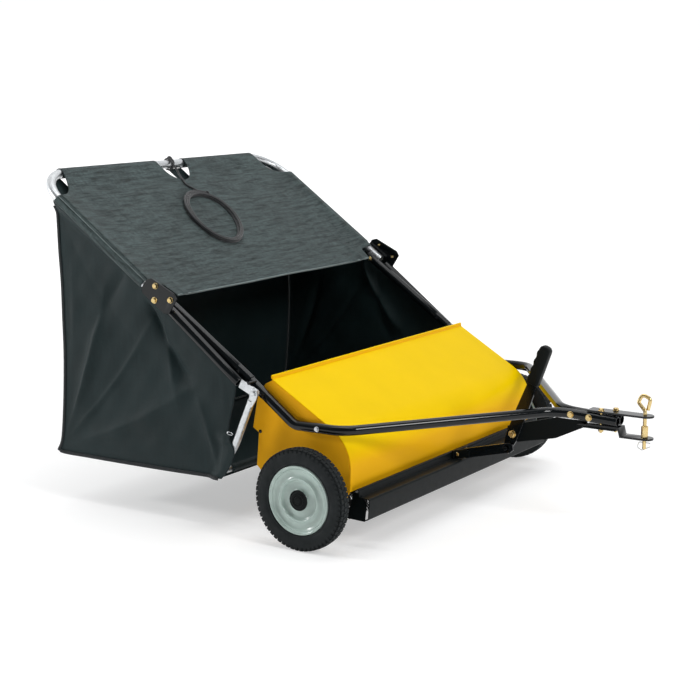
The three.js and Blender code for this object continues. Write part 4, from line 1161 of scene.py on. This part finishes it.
def add_housing():
    add_cover()
    for side, word in SIDES:
        # The side plates take the more orange copy of the yellow paint: painted shade.
        refined(f"side_plate_{word}", f"side_panel_{word}", SHADED_SIDE_YELLOW, "housing", 0.7, 20)
        add_screw(side, word)
    refined("apron", "apron_sheet", SATIN_BLACK, "housing", 0.7, 20)
    refined("apron_bracket", "apron_bracket_plate", SATIN_BLACK, "housing", 0.5, slot="zinc_plate")
    for side, word in SIDES:
        y0, y1 = side * APRON_END_Y[0], side * APRON_END_Y[1]
        plate(f"apron_end_{word}", APRON_END, y0, y1, SATIN_BLACK, "housing", 0.5)
    for k, y in enumerate(APRON_BOLTS_Y):
        hex_bolt(f"apron_bolt_{k + 1}", (y, APRON_BOLT_Z), "X", *APRON_BOLT_X, "housing", 12, nut=False)


# ---- wheels ----
TYRE_INNER_Y = 538
TYRE_OUTER_Y = 578
RIM_R = 86
HUB_R = 24
AXLE_R = 8
# The side wall: how far out from the rim, how far in from the tyre's widest plane.
TYRE_WALL = ((0.5, 4.5), (2.0, 2.2), (4.5, 1.4), (6, 2.0), (8, 0.9), (14, 0.1), (21, 0.2), (24, 0.9),
             (26, 0.5), (30, 2.0))
TREAD_BLOCKS = 58
TREAD_H = 2.2
TREAD_LOW_R = WHEEL_R - TREAD_H - 1.2
# Rows of the tread: shift and length as shares of the pitch, from and to y, skew, lower and upper radius.
TREAD_ROWS = (
    (0, 0.8, 542.0, 551.0, 0.012, TREAD_LOW_R, WHEEL_R - 1.0),
    (0.5, 0.68, 552.2, 563.8, -0.018, TREAD_LOW_R, WHEEL_R),
    (0, 0.8, 565.0, 574.0, 0.012, TREAD_LOW_R, WHEEL_R - 1.0),
    (0, 0.56, 572.6, 576.6, 0.0, WHEEL_R - 17, WHEEL_R - 5.0),
    (0, 0.56, 539.4, 543.4, 0.0, WHEEL_R - 17, WHEEL_R - 5.0),
)


def tyre_profile():
    """(radius, distance from the machine's middle) across the tyre, from the inner bead to the outer."""
    middle = (TYRE_INNER_Y + TYRE_OUTER_Y) / 2
    half = (TYRE_OUTER_Y - TYRE_INNER_Y) / 2
    tread_r = WHEEL_R - TREAD_H
    outer = [(RIM_R + out, half - inset) for out, inset in TYRE_WALL]
    outer += [(tread_r - 3, half - 4.6), (tread_r - 1, half - 8.5)]
    profile = [(r, middle - s) for r, s in outer]
    profile += [(tread_r, middle - 7), (tread_r + 0.3, middle), (tread_r, middle + 7)]
    profile += [(r, middle + s) for r, s in reversed(outer)]
    return profile + [(RIM_R + 0.4, middle + half - 8), (RIM_R + 0.4, middle - half + 8), profile[0]]


def tread_block(side, angle, y_low, y_high, span, skew, low_r, high_r):
    """One rubber block on the tread: a box bent to the wheel, narrower at its top."""
    points = []
    for r, scale in ((low_r, 1.0), (high_r - 0.6, 0.95), (high_r, 0.86)):
        for across, round_by in ((-0.5, -1), (0.5, -1), (0.5, 1), (-0.5, 1)):
            y = (y_low + y_high) / 2 + across * (y_high - y_low) * scale
            a = angle + round_by * span / 2 * scale + skew * across
            points.append((r * math.cos(a), side * y, AXLE_Z + r * math.sin(a)))
    return points


def add_tyre(side, word):
    body = f"wheel_{word}"
    profile = [(r, side * y) for r, y in tyre_profile()]
    carcass = turned(f"tyre_carcass_{word}", profile, (0, AXLE_Z), TYRE, body, segments=120)
    verts = []
    faces = []
    pitch = 2 * math.pi / TREAD_BLOCKS
    for angle in turns(TREAD_BLOCKS):
        for shift, share, y_low, y_high, skew, low_r, high_r in TREAD_ROWS:
            middle, span = angle + pitch * shift, pitch * share
            block = tread_block(side, middle, y_low, y_high, span, skew, low_r, high_r)
            add_block(verts, faces, block, 4)
    blocks = make(f"tyre_tread_{word}", row(verts), faces, TYRE, body, sharp=30)
    weld(blocks.data)
    merge([carcass, blocks], f"tyre_body_{word}", f"tyre_{word}")


# The rim's section, (radius, y): its outer face from the hub to the bead, and its back.
RIM_FACE = [
    (AXLE_R + 0.3, 571.2), (HUB_R - 8, 571.5), (HUB_R - 1.2, 571.5), (HUB_R, 570.4), (HUB_R + 0.6, 567.4),
    (HUB_R + 2, 566.6), (30, 564.6), (36, 563.8), (42, 563.7), (46.4, 564.4), (49, 567.4), (50, 571.0),
    (51.2, 572.8), (53.2, 573.0), (54.6, 571.4), (57, 569.2), (61, 567.7), (65, 567.3), (69.6, 567.9),
    (72.6, 569.2), (74.4, 571.8), (76, 572.2), (77.4, 571.6), (79, 573.6), (81, 575.8), (83.5, 576.4),
    (85.6, 575.0), (RIM_R, 572.6),
]
RIM_BACK = [
    (RIM_R, 542.0), (85, 541.0), (77, 541.0), (76, 542), (75.6, 563.5), (72, 565.0), (53, 565.0), (49, 561.6),
    (HUB_R + 2, 561.6), (HUB_R, 560), (HUB_R, 542), (HUB_R - 1, 541), (AXLE_R + 0.3, 541), RIM_FACE[0],
]
HUB_CAP = [(0, 572.0), (25.4, 572.0), (26, 572.6), (25.6, 573.6), (20.6, 573.8), (20, 574.4), (19, 575.6),
           (15.5, 576.4), (14.4, 575.2), (10, 575.0), (8.6, 577.0), (4, 577.4), (0, 577.5)]
BRUSH_ANGLE = math.radians(171)
RING_TEETH = 40
RING_ROOT_R = 66
RING_TIP_R = 61
RING_BACK_R = 75.8
RING_Y = (544.5, 565.5)
# One tooth: radius, and half its width there.
TOOTH = ((RING_ROOT_R, -3.0), (RING_TIP_R + 0.8, -1.6), (RING_TIP_R, -1.1), (RING_TIP_R, 1.1),
         (RING_TIP_R + 0.8, 1.6), (RING_ROOT_R, 3.0))


def add_ring_gear(side, word):
    teeth = []
    for middle in turns(RING_TEETH, BRUSH_ANGLE + math.pi / RING_TEETH):
        teeth += [(r, middle + half / r) for r, half in TOOTH]
    back = [(RING_BACK_R, angle) for _, angle in teeth]
    low, high = RING_Y
    verts = []
    for ring, y in ((teeth, low), (back, low), (back, high), (teeth, high)):
        verts += [(r * math.cos(a), side * y, AXLE_Z + r * math.sin(a)) for r, a in ring]
    faces = [tuple(i % len(verts) for i in face) for face in grid_faces(5, len(teeth), wrap=True)]
    gear = make(f"rim_gear_{word}", row(verts), faces, RIM, f"wheel_{word}", sharp=25)
    weld(gear.data)
    return gear


def add_rim(side, word):
    """A moulded rim: bead flange, stepped dish, raised hub, gear ring inside."""
    body = f"wheel_{word}"
    profile = [(r, side * y) for r, y in RIM_FACE + RIM_BACK]
    dish = turned(f"rim_dish_{word}", profile, (0, AXLE_Z), RIM, body, segments=120, sharp=50)
    merge([dish, add_ring_gear(side, word)], f"rim_body_{word}", f"rim_{word}")
    cap = [(r, side * y) for r, y in HUB_CAP]
    turned(f"hub_cover_{word}", cap, (0, AXLE_Z), PLASTIC, body, segments=48, replaces=(f"hub_cap_{word}",))


# ---- brush ----
BRUSH_X = 50 * math.cos(BRUSH_ANGLE)
BRUSH_Z = AXLE_Z + 50 * math.sin(BRUSH_ANGLE)
BRUSH_CENTRE = np.array([BRUSH_X, 0, BRUSH_Z])
BRUSH_R = 122
BRUSH_END_Y = 458
BRUSH_SECTIONS = 3
BRUSH_ROWS = 6
BRISTLES_PER_ROW = 230


def add_bristles(verts, faces, radial, around, low, high):
    """One row of bristles, spread at random; the draws come in a fixed order."""
    y = RNG.uniform(low + 5, high - 5, BRISTLES_PER_ROW)
    spread_by = RNG.uniform(-1, 1, BRISTLES_PER_ROW)
    lean = RNG.normal(0, 3.0, BRISTLES_PER_ROW)
    reach = BRUSH_R - RNG.uniform(0.5, 6, BRISTLES_PER_ROW)
    corners = (around, ACROSS * 0.87 - around * 0.5, ACROSS * -0.87 - around * 0.5)
    for b in range(BRISTLES_PER_ROW):
        foot = BRUSH_CENTRE + radial * 37 + around * spread_by[b] * 3.4 + ACROSS * y[b]
        tip = BRUSH_CENTRE + radial * reach[b] + around * spread_by[b] * 10.5 + ACROSS * (y[b] + lean[b])
        stations = ((foot, 1.1), ((foot + tip) / 2 + around * 0.8, 1.0), (tip, 0.7))
        add_block(verts, faces, [place + corner * size for place, size in stations for corner in corners], 3)


def add_holder(verts, faces, radial, around, low, high):
    """The strip that holds one row of bristles on the core."""
    points = []
    for r, half in ((26, 7), (38, 6), (39.5, 4.2)):
        for y, s in ((low + 2, -1), (high - 2, -1), (high - 2, 1), (low + 2, 1)):
            points.append(BRUSH_CENTRE + radial * r + around * half * s + ACROSS * y)
    add_block(verts, faces, points, 4)


def add_brush():
    pitch = 2 * BRUSH_END_Y / BRUSH_SECTIONS
    for k in range(BRUSH_SECTIONS):
        low = -BRUSH_END_Y + k * pitch
        high = low + pitch - 4
        section = [(8.4, low), (26, low), (28, low + 1), (28, high - 1), (26, high), (8.4, high), (8.4, low)]
        core = turned(f"brush_core_{k + 1}", section, (BRUSH_X, BRUSH_Z), PLASTIC, "brush", segments=48,
                      slot="bristles")
        verts = []
        faces = []
        for angle in turns(BRUSH_ROWS, 2 * math.pi * k / BRUSH_ROWS / BRUSH_SECTIONS):
            radial = np.array([math.cos(angle), 0, math.sin(angle)])
            around = np.array([-math.sin(angle), 0, math.cos(angle)])
            add_holder(verts, faces, radial, around, low, high)
            add_bristles(verts, faces, radial, around, low, high)
        tufts = make(f"brush_tufts_{k + 1}", row(verts), faces, BRISTLE, "brush", sharp=50)
        merge([core, tufts], f"brush_body_{k + 1}", f"brush_section_{k + 1}")


# ---- drawbar and hopper arms ----
DRAWBAR_CORNERS = ((ARM_JOINT[0] + 0.3, -DRAWBAR_Y, ARM_JOINT[1] - 0.3), (-62, -DRAWBAR_Y, DRAWBAR_Z - 1),
                   (78, -DRAWBAR_Y, DRAWBAR_Z), (415, -HITCH_TUBE_Y, DRAWBAR_Z + 1),
                   (TUBE_END_X, -HITCH_TUBE_Y, DRAWBAR_Z - 7))
DRAWBAR_RADII = (42, 70, 90)
# Bolts: under the head and at the far end, along the bolt.
SIDE_BOLT_X = 12
SIDE_BOLT_Y = (510.4, 478)
GUIDE_BOLT = (-148.8, 355.5)
STOP_LUG = (-176.3, 387.9)
BOLT_HEAD_Y = 510.2
BOLT_NUT_Y = 483


def on_arm(distance):
    """A place on the arm's centre line in x and z, so far from its joint with the drawbar tube."""
    dx, dz = HOPPER_PIVOT[0] - ARM_JOINT[0], HOPPER_PIVOT[1] - ARM_JOINT[1]
    share = distance / math.hypot(dx, dz)
    return ARM_JOINT[0] + dx * share, ARM_JOINT[1] + dz * share


def arm_path(side, distances):
    return [(x, side * DRAWBAR_Y, z) for x, z in map(on_arm, distances)]


def resample(path, spacing):
    """Extra stations on long straight runs."""
    out = [path[0]]
    for a, b in zip(path, path[1:]):
        count = max(1, math.ceil((b - a).length / spacing))
        out += [a.lerp(b, k / count) for k in range(1, count + 1)]
    return out


def add_drawbar_side(side, word):
    bar = [(x, -side * y, z) for x, y, z in bent(DRAWBAR_CORNERS, DRAWBAR_RADII)]
    tube(f"drawbar_{word}", bar, BLACK, "drawbar", f"drawbar_tube_{word}")
    end = math.dist(ARM_JOINT, HOPPER_PIVOT) + ARM_OVERRUN
    tube(f"arm_{word}", arm_path(side, (0.3, 100, 180, end)), BLACK, "drawbar", f"hopper_arm_{word}")
    collar = resample(metres(arm_path(side, (-24, 0.5, 24))), 0.012)
    rod(f"arm_joint_{word}", collar, TUBE_R + 0.35, BLACK, "drawbar", 40)
    head, nut = side * BOLT_HEAD_Y, side * BOLT_NUT_Y
    hex_bolt(f"side_pivot_bolt_{word}", (SIDE_BOLT_X, DRAWBAR_Z), "Y", side * SIDE_BOLT_Y[0],
             side * SIDE_BOLT_Y[1], "drawbar", 9.5, ZINC, nut=False, replaces=(f"side_bolt_{word}",))
    hex_bolt(f"arm_joint_bolt_{word}", on_arm(12), "Y", head, nut, "drawbar", 8, BLACK)
    hex_bolt(f"guide_bolt_{word}", GUIDE_BOLT, "Y", head, nut, "drawbar", 9, BLACK, nut=False)
    lug = [(0, 500), (4, 500), (4, 530.4), (3.4, 531), (0, 531)]
    turned(f"stop_lug_{word}", [(r, side * y) for r, y in lug], STOP_LUG, BLACK, "drawbar", segments=24)


# ---- hitch ----
CROSS_BOLTS = (456, 506)
CROSS_BOLT_Y = 26.2
STRAP_BOLT_Z = (307.8, 260.2)
STRAP_BOLTS = ((534, -HITCH_TUBE_Y), (562, HITCH_TUBE_Y))
PIN_PATH = ((PIN_X, 0, 222), (PIN_X, 0, 318), (PIN_X - 22, 8, 336), (PIN_X - 14, 14, 356),
            (PIN_X + 8, 14, 346), (PIN_X + 2, 13, 318))
CLIP_PATH = ((PIN_X + 16, 0, 238), (PIN_X - 14, 0, 238), (PIN_X - 18, 0, 224), (PIN_X - 8, 6, 216),
             (PIN_X + 14, 6, 228))
SPACER = [(PIN_R + 0.4, 251.6), (8.2, 251.4), (8.8, 252), (8.8, 278.8), (8.2, 279.4), (PIN_R + 0.4, 279.2),
          (PIN_R + 0.4, 251.6)]


def tube_z(x):
    return DRAWBAR_Z + 1 - 8 * (x - 415) / (TUBE_END_X - 415)


def add_hitch():
    refined("hitch_strap_upper", "strap_upper", BLACK, "drawbar", 0.7)
    refined("hitch_strap_lower", "strap_lower", BLACK, "drawbar", 0.7)
    for k, x in enumerate(CROSS_BOLTS):
        hex_bolt(f"cross_bolt_{k + 1}", (x, tube_z(x)), "Y", -CROSS_BOLT_Y, CROSS_BOLT_Y, "drawbar", 12.5,
                 replaces=(f"hitch_bolt_{k + 1}",))
    for k, place in enumerate(STRAP_BOLTS):
        hex_bolt(f"hitch_strap_bolt_{k + 1}", place, "Z", *STRAP_BOLT_Z, "drawbar", 11.5,
                 replaces=(f"strap_bolt_{k + 1}",))
    pin = metres(bent(PIN_PATH, (8, 9, 9, 9), 6))
    rod("pin_with_loop", pin, PIN_R * 0.97, BRASS, "pin", 24, replaces=("hitch_pin",))
    turned("spacer_sleeve", SPACER, (PIN_X, 0), BRASS, "spacer", "Z", 40, replaces=("hitch_spacer",))
    clip = metres(bent(CLIP_PATH, (5, 5, 5), 8))
    rod("spring_clip", clip, 1.25, ZINC, "clip", 14, replaces=("hair_clip",))


# ---- height gear ----
LEVER_PIVOT = (281, 214)
LEVER_TOP = (374, 452)
LEVER_BOLT_Y = (-1.3, 14.6)
# The grip's rounded top, and its section: place across the lever, inset from the outline.
GRIP_TOP = ((248, 14.2), (251.5, 12), (254.5, 8), (256, 3), (256, -5), (254.6, -10), (251, -14))
GRIP_SECTION = ((-9.0, 6.0), (-8.6, 3.6), (-7.6, 1.8), (-5.8, 0.6), (-3.4, 0.0), (10.4, 0.0), (12.8, 0.6),
                (14.6, 1.8), (15.6, 3.6), (16.0, 6.0))


def lever_at(s, w):
    """A place so far up the lever and so far in front of its middle line."""
    dx, dz = LEVER_TOP[0] - LEVER_PIVOT[0], LEVER_TOP[1] - LEVER_PIVOT[1]
    length = math.hypot(dx, dz)
    dx, dz = dx / length, dz / length
    return (LEVER_PIVOT[0] + dx * s + dz * w, LEVER_PIVOT[1] + dz * s - dx * w)


def add_height_gear():
    refined("strut", "strut_plate", SATIN_BLACK, "drawbar", 0.7)
    refined("lever_bar", "lever_flat", BLACK, "lever", 0.8)
    refined("height_link", "link_flat", BLACK, "link", 0.8)
    hex_bolt("lever_pivot_bolt", LEVER_PIVOT, "Y", *LEVER_BOLT_Y, "drawbar", 15, replaces=("lever_bolt",))
    add_grip()


def grip_outline():
    """Smooth front, rounded top, four finger bumps behind."""
    outline = [lever_at(150 + 94 * t, 17 - 2 * t) for t in np.linspace(0, 1, 14)]
    outline += [lever_at(*p) for p in GRIP_TOP]
    for t in np.linspace(0, 1, 41):
        outline.append(lever_at(245 - 95 * t, -15.4 - 2.6 * math.sin(math.pi * 4 * t) ** 2))
    return np.array(outline + [lever_at(147.5, -12), lever_at(147, 12)])


def add_grip():
    """Moulded grip, rounded all over."""
    ring = grip_outline()
    along = np.roll(ring, -1, axis=0) - np.roll(ring, 1, axis=0)
    along /= np.linalg.norm(along, axis=1)[:, None]
    inward = np.stack([-along[:, 1], along[:, 0]], axis=1)
    if np.mean(np.sum(inward * (np.array(lever_at(200, 0)) - ring), axis=1)) < 0:
        inward = -inward
    verts = []
    for y, inset in GRIP_SECTION:
        verts += [(x, y, z) for x, z in ring + inward * inset]
    faces = closed_faces(len(GRIP_SECTION), len(ring))
    grip = make("grip", row(verts), faces, PLASTIC, "lever", replaces=("lever_grip",), sharp=60)
    weld(grip.data)


# ---- hopper frame ----
PLATE_OUT_Y = HOPPER_Y + TUBE_R + 4.5
PIVOT_BOLT_END_Y = 488
HOOK_BOLT = (-161, 364.4)
HOOK_BOLT_Y = (530.8, 513)
FRAME_TAB_Y = (HOPPER_Y + 2.6, HOPPER_Y + 6.6)
PLATE_BOLTS = ((-454.8, 609.6), (-407.7, 577))
# The flattened top of the lower frame, from the middle of its bolt.
FRAME_TAB = ((-18, -34), (-6, -36), (7, -16), (11, -4), (10, 6), (4, 11), (-5, 11), (-11, 4), (-13, -8))
ROD_Y = SIDE_PLANE_Y - 8.5
ROD_Z = 142.6
ROD_X = (-292, -793)
RING_CENTRE = (-231, 536, 256)


def round_the_rear(places, y):
    """A path down one side of the machine, across it and back up the other."""
    right = [(x, -y, z) for x, z in places]
    return right + [(x, y, z) for x, z in reversed(places)]


def add_upper_frame():
    places = ((HOPPER_TUBE_END_X, hopper_z(HOPPER_TUBE_END_X)), REAR_TUBE)
    path = bent(round_the_rear(places, HOPPER_Y), HOPPER_CORNER_R)
    tube("upper_frame", path, ZINC, "hopper", "hopper_upper_frame")


def add_lower_frame():
    """The zinc U frame under the bag's mouth, its tops pressed flat and drilled for the rest bolts."""
    places = (LOWER_FRAME_TOP, LOWER_FRAME_BEND, LOWER_FRAME_CORNER)
    path = metres(bent(round_the_rear(places, HOPPER_Y), (60, 24, 24, 60)))
    parts = [rod("lower_frame", path, LOWER_FRAME_R, ZINC, "hopper", 32)]
    outline = [(HOOK_BOLT[0] + x, HOOK_BOLT[1] + z) for x, z in FRAME_TAB]
    for side, word in SIDES:
        y0, y1 = side * FRAME_TAB_Y[0], side * FRAME_TAB_Y[1]
        parts.append(plate(f"lower_frame_tab_{word}", outline, y0, y1, ZINC, "hopper", 0.7))
    merge(parts, "lower_frame", "hopper_lower_frame")


def add_hopper_side(side, word):
    (x0, z0), (x1, z1) = LOWER_TUBE
    path = [(x0 + (x1 - x0) * t, side * HOPPER_Y, z0 + (z1 - z0) * t) for t in (0, 0.2, 0.5, 0.8, 1)]
    tube(f"lower_tube_{word}", path, BLACK, "hopper", f"lower_side_tube_{word}")
    refined(f"pivot_plate_{word}", f"side_bracket_{word}", BLACK, "hopper", 0.8)
    head, end = side * (PLATE_OUT_Y - 0.2), side * PIVOT_BOLT_END_Y
    hex_bolt(f"tip_bolt_{word}", HOPPER_PIVOT, "Y", head, end, "hopper", 12,
             replaces=(f"pivot_bolt_{word}",))
    head, end = side * (PLATE_OUT_Y + 0.1), side * (PLATE_OUT_Y - 6)
    for k, place in enumerate(PLATE_BOLTS):
        hex_bolt(f"plate_bolt_{word}_{k + 1}", place, "Y", head, end, "hopper", 11.5, nut=False)
    refined(f"hook_fitting_{word}", f"end_fitting_{word}", ZINC, "hopper", 0.6)
    head, end = side * HOOK_BOLT_Y[0], side * HOOK_BOLT_Y[1]
    hex_bolt(f"rest_bolt_{word}", HOOK_BOLT, "Y", head, end, "hopper", 11, ZINC, nut=False,
             replaces=(f"hook_bolt_{word}",))


def add_bottom_rod():
    path = metres(bent(round_the_rear([(x, ROD_Z) for x in ROD_X], ROD_Y), 20))
    rod("floor_rod", path, 4, ZINC, "hopper", 20, replaces=("bag_bottom_rod",))


def add_wire_rings():
    """A small wire ring sewn to the bag's front edge on each side."""
    x, y, z = RING_CENTRE
    for side, word in SIDES:
        points = [(x + math.cos(t) * 8.5, side * (y + math.sin(t) * 3), z + math.sin(t) * 4.5)
                  for t in np.linspace(0, 2 * math.pi, 33)]
        rod(f"wire_ring_{word}", metres(points), 0.9, ZINC, "hopper", 10, caps=False)


add_camera()
add_rope()
add_studio()
add_bag()
add_housing()
for wheel_side, wheel_word in SIDES:
    add_tyre(wheel_side, wheel_word)
    add_rim(wheel_side, wheel_word)
add_brush()
for bar_side, bar_word in SIDES:
    add_drawbar_side(bar_side, bar_word)
add_hitch()
add_height_gear()
add_upper_frame()
add_lower_frame()
for frame_side, frame_word in SIDES:
    add_hopper_side(frame_side, frame_word)
add_bottom_rod()
add_wire_rings()
finish_nodes()
